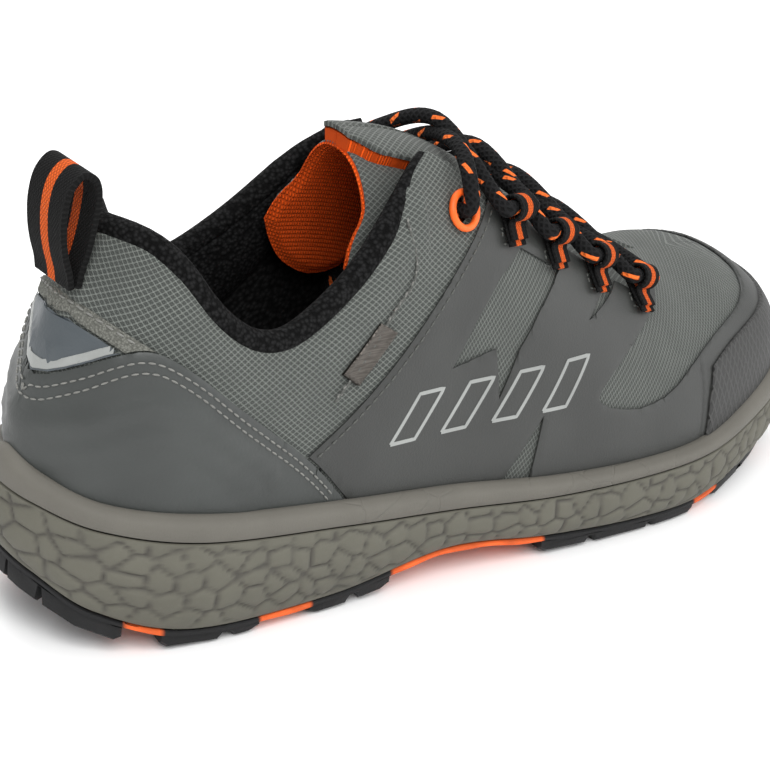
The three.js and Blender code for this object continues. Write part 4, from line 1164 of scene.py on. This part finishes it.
def tube(path, radius, sides=12, flat=1.0, uvStart=0.0):  # path in drawn millimetres; closed round ends
    path = np.asarray(path, float)
    way = np.gradient(path, axis=0)
    way /= np.linalg.norm(way, axis=1, keepdims=True)
    normal = np.cross(way[0], [0.3, 0.2, 1.0])
    normal /= np.linalg.norm(normal)
    points, uv = [], []
    run = uvStart
    radii = np.full(len(path), float(radius)) if np.isscalar(radius) else np.asarray(radius, float)
    for i, p in enumerate(path):
        normal = normal - way[i] * np.dot(normal, way[i])
        normal /= np.linalg.norm(normal)
        across = np.cross(way[i], normal)
        if i:
            run += np.linalg.norm(path[i] - path[i - 1])
        for k in range(sides):
            a = 2 * math.pi * k / sides
            points.append(p + radii[i] * (math.cos(a) * normal * flat + math.sin(a) * across))
            uv.append((run, radii[i] * a))
    faces = []
    for i in range(len(path) - 1):
        for k in range(sides):
            q = (k + 1) % sides
            faces.append((i * sides + k, i * sides + q, (i + 1) * sides + q, (i + 1) * sides + k))
    faces.append(tuple(range(sides))[::-1])
    faces.append(tuple((len(path) - 1) * sides + k for k in range(sides)))
    return points, faces, uv


def edgePath(side, line, depth, gap=1.2):
    places = sideLine(side, line, gap)
    return np.array([dome(t, a, depth) for t, a in places])


lateralBind = edgePath(-1, shifted(topline, 0, 0.2), -1.2)
medialBind = edgePath(1, shifted(topline, 0, 0.2), -1.2)
lateralBind = lateralBind[lateralBind[:, 0] < 119]
medialBind = medialBind[medialBind[:, 0] < 119]
bindPath = np.concatenate([lateralBind[::-1], medialBind[1:]])
smooth = bindPath.copy()
for _ in range(3):
    smooth[1:-1] = (smooth[:-2] + 2 * smooth[1:-1] + smooth[2:]) / 4
# slimmer in front, where the tongue moves
bindRadius = np.interp(smooth[:, 0], [98, 106, 119], [collar["binding"], 2.2, 1.6])
bindPoints, bindFaces, bindUv = tube(smooth, bindRadius, 14)
binding = makeObject("collarBinding", bindPoints, bindFaces, bindUv)
dress(binding, collarMaterial)
print("collar made")

# lining and insole


def keepLining(x, y, z, t, a):
    edge = lineHeight(topline, x)
    return (((z < edge - collar["deep"] + 3) | (x > 112)) & (z < edge) & ~inThroat(x, y, 1.0)
            & ~nearEyelet(x, y, z, eyelet["hole"] / 2 + 0.4))


for side in (-1, 1):
    lines = [sideLine(side, shifted(topline, 0, 3 - collar["deep"])), throatLines[side]]
    lining = layPatch("bootieLining" + words[side].capitalize(), halves[side], lines, keepLining, liningOut,
                      liningIn, gap=3.0)
    dress(lining, liningMaterial, nodes=["bootie_lining"] if side < 0 else [])


def sockHeight(t):
    return rim(t) - cupSink + 0.1 + 1.5 + 0.4


rows = [(60, sockHeight, 1), (12, sockHeight, 1), (11.8, sockHeight, 1),
        (11.8, lambda t: sockHeight(t) + 3.2, 1),
        (12.6, lambda t: sockHeight(t) + 4, 1), (60, lambda t: sockHeight(t) + 4, 1)]
dress(soleLoops("socklinerPad", rows), sockMaterial, nodes=["sockliner"])
chamfered("heel_stiffener", 0, stiffenerMaterial)
chamfered("toe_puff", 0, stiffenerMaterial)

# tongue
tongueHalf = {"x": [98, 104, 110, 121, 130, 140, 160, 200, 214], "y": [9, 12, 13, 14, 14.8, 18, 23.5, 24, 19]}
tongueEdge = [(80, 100), (126, 100), (150, 88), (175, 72), (200, 57), (230, 48)]
tongueWing = [(90, 101), (92, 108), (97, 114), (98, 119), (98, 150), (134, 150), (133, 108), (130, 95),
              (126, 80), (112, 77), (100, 84), (94, 92), (90, 101)]
tongueWing = rounded(tongueWing)
tongue = {"out": -3.4, "mid": -4.8, "foamIn": -9.3, "back": 98, "wing": 1.8}


def tongueWide(x):  # half the width, with the corners of the free end rounded
    corner = np.clip((tongue["back"] + 8 - x) / 8, 0, 1)
    return follow(tongueHalf["x"], tongueHalf["y"], x) * np.sqrt(1 - 0.55 * corner**2)


def tongueOutline(side, shrink=0.0):
    xs = np.linspace(tongue["back"] + shrink, 214 - shrink, 44)
    half = tongueWide(xs) - shrink
    start = ([(float(xs[0]), float(spineAt(xs[0])))]
             + [(float(xs[0]), float(spineAt(xs[0]) + side * half[0] * k / 6)) for k in range(1, 6)])
    body = [(float(x), float(spineAt(x) + side * h)) for x, h in zip(xs, half)]
    end = [(float(xs[-1]), float(spineAt(xs[-1]) + side * half[-1] * k / 6)) for k in range(5, -1, -1)]
    return start + body + end


def inTongue(x, y, shrink=0.0):
    return ((x > tongue["back"] + shrink) & (x < 214 - shrink)
            & (np.abs(y - spineAt(x)) < tongueWide(x) - shrink))


def keepTongue(x, y, z, t, a):
    return inTongue(x, y) & (z > lineHeight(tongueEdge, x))


def keepKnit(x, y, z, t, a):
    return inTongue(x, y, 0.5) & (z > lineHeight(tongueEdge, x))


tongueSpan = (float(stationAt(-1, 92)), float(stationAt(1, 92)))
tongueLines = [topLine(tongueOutline(s), 1.2) for s in (-1, 1)]
tongueTop = layPatch("tongueNetFace", tongueSpan, tongueLines, keepTongue, tongue["out"], tongue["mid"],
                     rise=(0.4, math.pi / 2), gap=1.5, uvKind="over")
tongueBody = "tongue" if "tongue" in frame["bodies"] else "shoe"
dress(tongueTop, tongueMaterial, tongueBody, ["tongue_mesh"])


def knitInside(x, y, z, t):  # the foam behind the knit is soft and full, in shallow channels
    middle = np.clip(1 - np.abs(y - spineAt(x)) / 18, 0, 1)
    return tongue["foamIn"] + 1.3 - 1.3 * middle**0.6 - 0.35 * np.sin(x / 1.9)


knitLines = [topLine(tongueOutline(s, 0.5), 1.2) for s in (-1, 1)]
knit = layPatch("tongueRibKnit", tongueSpan, knitLines, keepKnit, tongue["mid"] - 0.4, knitInside,
                rise=(0.4, math.pi / 2), gap=1.3, uvKind="over")
dress(knit, tongueKnitMaterial, tongueBody, ["tongue_lining"])


def keepWing(x, y, z, t, a):
    return inside(tongueWing, x, z)


def wingInside(x, y, z, t):
    edge = lineDistance(tongueWing, x, z)
    return tongue["foamIn"] + 0.2 - tongue["wing"] * np.clip(edge / 3, 0.3, 1)


wingNetLine = [(x + 0.9, z) for x, z in tongueWing]


def keepWingNet(x, y, z, t, a):
    return inside(wingNetLine, x, z) & (x < 131)


for side in (-1, 1):  # the same knit wraps down both sides of the ankle, with the net behind it
    wing = layPatch("tongueWing" + words[side].capitalize(), halves[side], [sideLine(side, tongueWing)],
                    keepWing, tongue["foamIn"] + 0.2,
                    wingInside, rise=(0.4, math.pi / 2), gap=1.2, uvKind="over")
    dress(wing, tongueKnitMaterial, tongueBody)
    back = layPatch("wingNet" + words[side].capitalize(), halves[side], [sideLine(side, wingNetLine)],
                    keepWingNet, tongue["foamIn"] + 0.9,
                    tongue["foamIn"] + 0.25, rise=(0.4, math.pi / 2), gap=1.2, uvKind="over")
    dress(back, tongueMaterial, tongueBody)
chamfered("tongue_label", 0.15, labelMaterial, tongueBody)
print("tongue made")

# straps: a flat ribbon along a profile, with its width across


def strap(name, profile, across, width, thick, material, body="shoe", nodes=()):
    profile = np.asarray(profile, float)  # centre line points; the ribbon is extruded along `across`
    way = np.gradient(profile, axis=0)
    way /= np.linalg.norm(way, axis=1, keepdims=True)
    out = np.cross(across, way)
    half = width / 2
    edge = thick / 2
    section = [(-half + 0.25, edge), (-half / 2, edge), (0, edge), (half / 2, edge), (half - 0.25, edge),
               (half, 0), (half - 0.25, -edge),
               (half / 2, -edge), (0, -edge), (-half / 2, -edge), (-half + 0.25, -edge), (-half, 0)]
    points, uv, run = [], [], 0.0
    for i, p in enumerate(profile):
        if i:
            run += np.linalg.norm(profile[i] - profile[i - 1])
        for s, h in section:
            points.append(p + across * s + out[i] * h)
            uv.append((run, s))
    n = len(section)
    faces = []
    for i in range(len(profile) - 1):
        for k in range(n):
            q = (k + 1) % n
            faces.append((i * n + k, (i + 1) * n + k, (i + 1) * n + q, i * n + q))
    faces.append(tuple(range(n)))
    faces.append(tuple((len(profile) - 1) * n + k for k in range(n))[::-1])
    obj = makeObject(name, points, faces, uv)
    faceOutward(obj)
    return dress(obj, material, body, nodes)


rowsOfLoops = [{"x": 144, -1: 1.0, 1: 0.95}, {"x": 161.5, -1: 1.0, 1: 0.97}, {"x": 180, -1: 1.0, 1: 1.0},
               {"x": 201, -1: 1.03, 1: 1.03}]
loop = {"wall": 1.1, "long": 8.0, "tail": 10.0}
laceRadius = 2.2
loopHole = laceRadius + 0.6
loopRadius = loopHole + loop["wall"]


def rowPlace(row, side):
    t = float(stationAt(side, row["x"]))
    _, rise, out = outwardAt(t, row[side])
    return dome(t, row[side], filmOut + layerGap), np.cross(rise, out) * -side, rise, out


for i, row in enumerate(rowsOfLoops):
    for side in (-1, 1):
        base, along, rise, out = rowPlace(row, side)
        mid = loopHole + loop["wall"] / 2
        profile = [(-loop["tail"] + k * 1.25, loop["wall"] / 2) for k in range(7)]
        profile += [(mid * math.sin(a), loopRadius - mid * math.cos(a))
                    for a in np.linspace(0.05, 2 * math.pi - 1.15, 26)]
        profile += [(-loopRadius - 0.6, loop["wall"] * 1.6), (-loop["tail"] + 1.5, loop["wall"] * 1.5)]
        line = [base + rise * u + out * v for u, v in profile]
        strap(f"laceLoop{words[side].capitalize()}{i + 1}", line, along, loop["long"], loop["wall"] * 0.9,
              loopMaterial,
              nodes=[f"lace_loop_{words[side]}_{i + 1}"])

for side in (-1, 1):
    centre, along, rise, out, t = eyeletAt(side)
    turn = Vector((0, 0, 1)).rotation_difference(Vector(out))
    place = centre + out * (eyelet["wire"] / 2 + 0.3)
    bpy.ops.mesh.primitive_torus_add(location=toFrame([place])[0], rotation=turn.to_euler(),
                                     major_segments=44, minor_segments=14,
                                     major_radius=(eyelet["hole"] + eyelet["wire"]) / 2 * mm,
                                     minor_radius=eyelet["wire"] / 2 * mm)
    ring = bpy.context.active_object
    ring.name = "eyeletRing" + words[side].capitalize()
    bpy.ops.object.transform_apply(location=True, rotation=True, scale=True)
    bpy.ops.object.shade_smooth()
    ring.select_set(False)
    dress(ring, ringMaterial, nodes=["eyelet_ring_" + words[side]])
print("loops and rings made")

# lace: one round braided lace through all the loops
crossLift = 1.75
tails = {-1: [(-1, 0.66, -6.2), (-1, 0.52, -6.4), (-2, 0.38, -6.8)],
         1: [(-1, 0.54, -6.2), (-1, 0.43, -6.4), (-2, 0.32, -6.8)]}


def strand(first):
    points, half, side = [], loop["long"] / 2, first
    for i in range(len(rowsOfLoops) - 1, -1, -1):
        base, along, rise, out = rowPlace(rowsOfLoops[i], side)
        eye = base + out * loopRadius
        points += [eye + along * s for s in (half + 3, half, -half, -half - 3)]
        after = rowsOfLoops[i - 1]["x"] if i > 0 else eyelet["x"]
        over = (i % 2 == 1) == (first == -1)
        low = -3.4 + layerGap + laceRadius + crossLift - 1.3
        depth = low + 2 * laceRadius - 0.2 if over else low
        points.append(dome(float(stationAt(-1, (rowsOfLoops[i]["x"] + after) / 2)), math.pi / 2, depth))
        side = -side
    centre, along, rise, out, t = eyeletAt(side)
    overEdge = meshOut + eyelet["wire"] + laceRadius + layerGap
    for dx, turn, depth in ((5, eyelet[side] + 0.33, 3.8), (1.2, eyelet[side] + 0.1, overEdge + 0.5)):
        points.append(dome(float(stationAt(side, eyelet["x"] + dx)), turn, depth))
    points += [centre + out * 3.2 + rise * 0.3, centre - out * 5]
    points += [dome(float(stationAt(side, eyelet["x"] + dx)), turn, depth) for dx, turn, depth in tails[side]]
    return points


def smoothCurve(points, per=10):  # centripetal Catmull-Rom through the points
    points = [np.asarray(p, float) for p in points]
    points = [2 * points[0] - points[1], *points, 2 * points[-1] - points[-2]]
    out = []
    for i in range(1, len(points) - 2):
        p0, p1, p2, p3 = points[i - 1:i + 3]
        knots = np.cumsum([0] + [max(np.linalg.norm(b - a) ** 0.5, 1e-3) for a,
                                 b in ((p0, p1), (p1, p2), (p2, p3))])
        for t in np.linspace(knots[1], knots[2], per, endpoint=False):
            a1 = (knots[1] - t) / (knots[1] - knots[0]) * p0 + (t - knots[0]) / (knots[1] - knots[0]) * p1
            a2 = (knots[2] - t) / (knots[2] - knots[1]) * p1 + (t - knots[1]) / (knots[2] - knots[1]) * p2
            a3 = (knots[3] - t) / (knots[3] - knots[2]) * p2 + (t - knots[2]) / (knots[3] - knots[2]) * p3
            b1 = (knots[2] - t) / (knots[2] - knots[0]) * a1 + (t - knots[0]) / (knots[2] - knots[0]) * a2
            b2 = (knots[3] - t) / (knots[3] - knots[1]) * a2 + (t - knots[1]) / (knots[3] - knots[1]) * a3
            out.append((knots[2] - t) / (knots[2] - knots[1]) * b1 + (t - knots[1]) / (knots[2] - knots[1])
                       * b2)
    out.append(points[-2])
    return np.array(out)


left, right = strand(-1), strand(1)
bar = dome(float(stationAt(-1, rowsOfLoops[-1]["x"] + 9)), math.pi / 2, -3.4 + layerGap + laceRadius + 2.5)
lacePath = smoothCurve([*left[::-1], bar, *right])
lacePoints, laceFaces, laceUv = tube(lacePath, laceRadius, 16)
lace = makeObject("lacedCord", lacePoints, laceFaces, laceUv)
dress(lace, laceMaterial, nodes=["lace"])
agletMaterial = filmFinish("agletShell", (0.02, 0.02, 0.02), 0.25, 900)
for node in ("aglet_lateral", "aglet_medial"):
    chamfered(node, 0.4, agletMaterial)
print("lace made")

# heel pull loop
pullRibbon = {"width": 16, "thick": 1.7}


def heelFace(z):
    angles = np.linspace(0, math.pi / 2, 4000)
    at = dome(0, angles, meshOut)
    return float(np.interp(z, at[:, 2], at[:, 0]))


foot = heelFace(97)
pullLine = [(-3.7, 96.4), (-4.4, 100), (-5.9, 104.5), (-7.0, 109.5), (-7.4, 116.8), (-6.0, 122.8),
            (-2.8, 125.9),
            (0.3, 124.7), (1.9, 121.2), (1.6, 113.4), (0.5, 106.4), (-0.9, 101), (-1.7, 96.4)]
pullCurve = smoothCurve([np.array([foot + dx, 0, z]) for dx, z in pullLine], 6)
pullCurve[:, 1] = spineAt(0)
strap("pullLoopRibbon", pullCurve, np.array([0.0, 1.0, 0.0]), pullRibbon["width"], pullRibbon["thick"],
      webbingMaterial, "pull_loop", ["pull_loop"])
print("pull loop made")

# stitches and printed lines


def stitchRow(name, path, material, pitch=3.0, long=2.1, radius=0.32, body="shoe"):
    path = np.asarray(path, float)  # evenly spaced short rounded threads laid along a path on the surface
    run = np.concatenate([[0], np.cumsum(np.linalg.norm(np.diff(path, axis=0), axis=1))])
    points, faces, uv = [], [], []
    for k in range(int(run[-1] / pitch)):
        s = np.linspace(k * pitch, k * pitch + long, 4)
        line = np.stack([np.interp(s, run, path[:, c]) for c in range(3)], -1)
        p, f, u = tube(line, [radius * 0.55, radius, radius, radius * 0.55], 6)
        faces += [tuple(i + len(points) for i in face) for face in f]
        points += p
        uv += u
    return dress(makeObject(name, points, faces, uv, smoothAngle=60), material, body)


def counterFace(line, extra):  # a line laid on the counter's own moulded surface
    line = np.array(line)
    base = dome(line[:, 0], line[:, 1])
    return dome(line[:, 0], line[:, 1], counterDepth(base[:, 0], base[:, 1], base[:, 2], line[:, 0]) + extra)


def throughHeel(line, gap=0.8):
    return [(t - 24, a) for t, a in sideLine(1, line, gap)][::-1] + sideLine(-1, line, gap)[1:]


for k, drop in enumerate((-2.6, -5.2)):
    line = shifted([p for p in counterTop if p[0] < 84], 0, drop)
    stitchRow(f"counterStitchRow{k + 1}", counterFace(throughHeel(line), 0.15), threadMaterial,
              2.6, 1.8, 0.3)
trimPlaces = np.array(throughHeel(shifted([p for p in trimLine if p[0] < 26.5], 0, -1.2)))
stitchRow("trimStitchRow", dome(trimPlaces[:, 0], trimPlaces[:, 1], overIn + 1.05), threadMaterial,
          3.1, 2.1, 0.32)

for side in (-1, 1):
    word = words[side].capitalize()
    seam = rounded([(103.5, 106.5), (107.4, 92.7), (98, 84.5), (88, 72), (78.8, 62)])
    seamPath = edgePath(side, seam, meshOut + 1.2, 0.8)
    zigzag = []
    for k in range(0, len(seamPath) - 3, 3):
        zigzag += [seamPath[k] + np.array([0, 0, 0.9]), seamPath[k + 1] - np.array([0, 0, 0.9])]
    stitchRow("seamStitch" + word, seamPath, darkThreadMaterial, 2.4, 2.2, 0.45)
    stitchRow("seamCross" + word, np.array(zigzag), threadMaterial, 2.3, 2.0, 0.3)
    stitchRow("filmEdgeStitch" + word, edgePath(side, shifted([p for p in filmRear if p[0] < 142], 2.4,
            -0.6), filmOut + 0.1, 0.8),
              darkThreadMaterial, 2.6, 1.8, 0.26)
    for i, row in enumerate(rowsOfLoops):
        base, along, rise, out = rowPlace(row, side)
        box = []
        corners = [(-12.0, -4.2), (-12.0, 4.2), (-7.4, 4.2), (-7.4, -4.2), (-12.0, -4.2)]
        for u, v in dense(corners, 0.7):
            p = base + rise * u + along * v
            box.append((float(p[0]), float(p[2])))
        places = findPlace(sideTrees[side], box)
        stitchRow(f"barTack{word}{i + 1}", dome(places[:, 0], places[:, 1], filmOut + 0.12),
                  darkThreadMaterial, 1.7, 1.2, 0.28)


def printedLine(name, side, corners, wide, material, depth=2.52):
    places = sideLine(side, closedLoop(corners), 0.9)
    line = np.array([dome(t, a, depth) for t, a in places])
    outs = np.array([outwardAt(t, a)[2] for t, a in places])
    way = np.gradient(line, axis=0)
    way /= np.linalg.norm(way, axis=1, keepdims=True)
    across = np.cross(outs, way)
    points, faces = [], []
    for p, q, o in zip(line, across, outs):
        points += [p - q * wide / 2 - o * 0.2, p - q * wide / 2, p + q * wide / 2, p + q * wide / 2 - o * 0.2]
    for i in range(len(line) - 1):
        for k in range(4):
            faces.append((i * 4 + k, (i + 1) * 4 + k, (i + 1) * 4 + (k + 1) % 4, i * 4 + (k + 1) % 4))
    faces += [(3, 2, 1, 0), tuple((len(line) - 1) * 4 + k for k in range(4))]
    obj = makeObject(name, points, faces, np.zeros((len(points), 2)))
    faceOutward(obj)
    return dress(obj, material)


# a plain row of slanted bars on each side
bars = {"first": 101.0, "step": 18.0, "wide": 8.5, "lean": 0.66, "count": 4, "low": 47, "high": 60}
for side in (-1, 1):
    for k in range(bars["count"]):
        x = bars["first"] + k * bars["step"]
        shift = (bars["high"] - bars["low"]) * bars["lean"]
        corners = [(x, bars["low"]), (x + bars["wide"], bars["low"]),
                   (x + bars["wide"] + shift, bars["high"]), (x + shift, bars["high"])]
        printedLine(f"printedBar{words[side].capitalize()}{k + 1}", side, corners, 1.1, silverMaterial)
print("stitches and prints made")

# floor, lights and camera
bpy.ops.mesh.primitive_plane_add(size=6, location=(0, 0, 0))
floor = bpy.context.active_object
floor.name = "floor"
floorMaterial = newMaterial("floorPaper", (0.93, 0.93, 0.93), 0.9)[0]
floor.data.materials.append(floorMaterial)
world = bpy.data.worlds.new("studio")
bpy.context.scene.world = world
world.use_nodes = True
world.node_tree.nodes["Background"].inputs["Color"].default_value = (1, 1, 1, 1)
world.node_tree.nodes["Background"].inputs["Strength"].default_value = 0.75
bpy.context.scene.view_settings.view_transform = "Standard"
lights = {
    "key": {"at": (-0.5, -0.7, 1.1), "size": 0.9, "power": 14},
    "fill": {"at": (0.9, -0.8, 0.6), "size": 1.0, "power": 6},
    "back": {"at": (0.1, 0.9, 0.9), "size": 0.9, "power": 8},
}
for name, light in lights.items():
    lamp = bpy.data.lights.new(name, "AREA")
    lamp.size, lamp.energy = light["size"], light["power"]
    obj = bpy.data.objects.new(name, lamp)
    obj.location = light["at"]
    obj.rotation_euler = (Vector((0, 0, 0.05)) - Vector(light["at"])).to_track_quat("-Z", "Y").to_euler()
    bpy.context.collection.objects.link(obj)

view = {"azimuth": -43.48, "elevation": 25.56, "roll": 9.02, "far": 641.77,
        "target": (123.75, -8.85, 47.05), "lens": 105.92}
azimuth, elevation, roll = (math.radians(view[k]) for k in ("azimuth", "elevation", "roll"))
back = Vector((math.sin(azimuth) * math.cos(elevation), -math.cos(azimuth) * math.cos(elevation),
               math.sin(elevation)))
rightward = (-back).cross(Vector((0, 0, 1))).normalized()
upward = rightward.cross(-back)
turnedRight = rightward * math.cos(roll) + upward * math.sin(roll)
turnedUp = upward * math.cos(roll) - rightward * math.sin(roll)
place = Vector(toFrame([view["target"]])[0]) + back * view["far"] * mm
cameraData = bpy.data.cameras.new("camera")
cameraData.lens, cameraData.sensor_width, cameraData.clip_start = view["lens"], 36, 0.01
camera = bpy.data.objects.new("camera", cameraData)
camera.matrix_world = Matrix((
    (turnedRight.x, turnedUp.x, back.x, place.x), (turnedRight.y, turnedUp.y, back.y, place.y),
    (turnedRight.z, turnedUp.z, back.z, place.z), (0, 0, 0, 1)))
bpy.context.collection.objects.link(camera)
bpy.context.scene.camera = camera
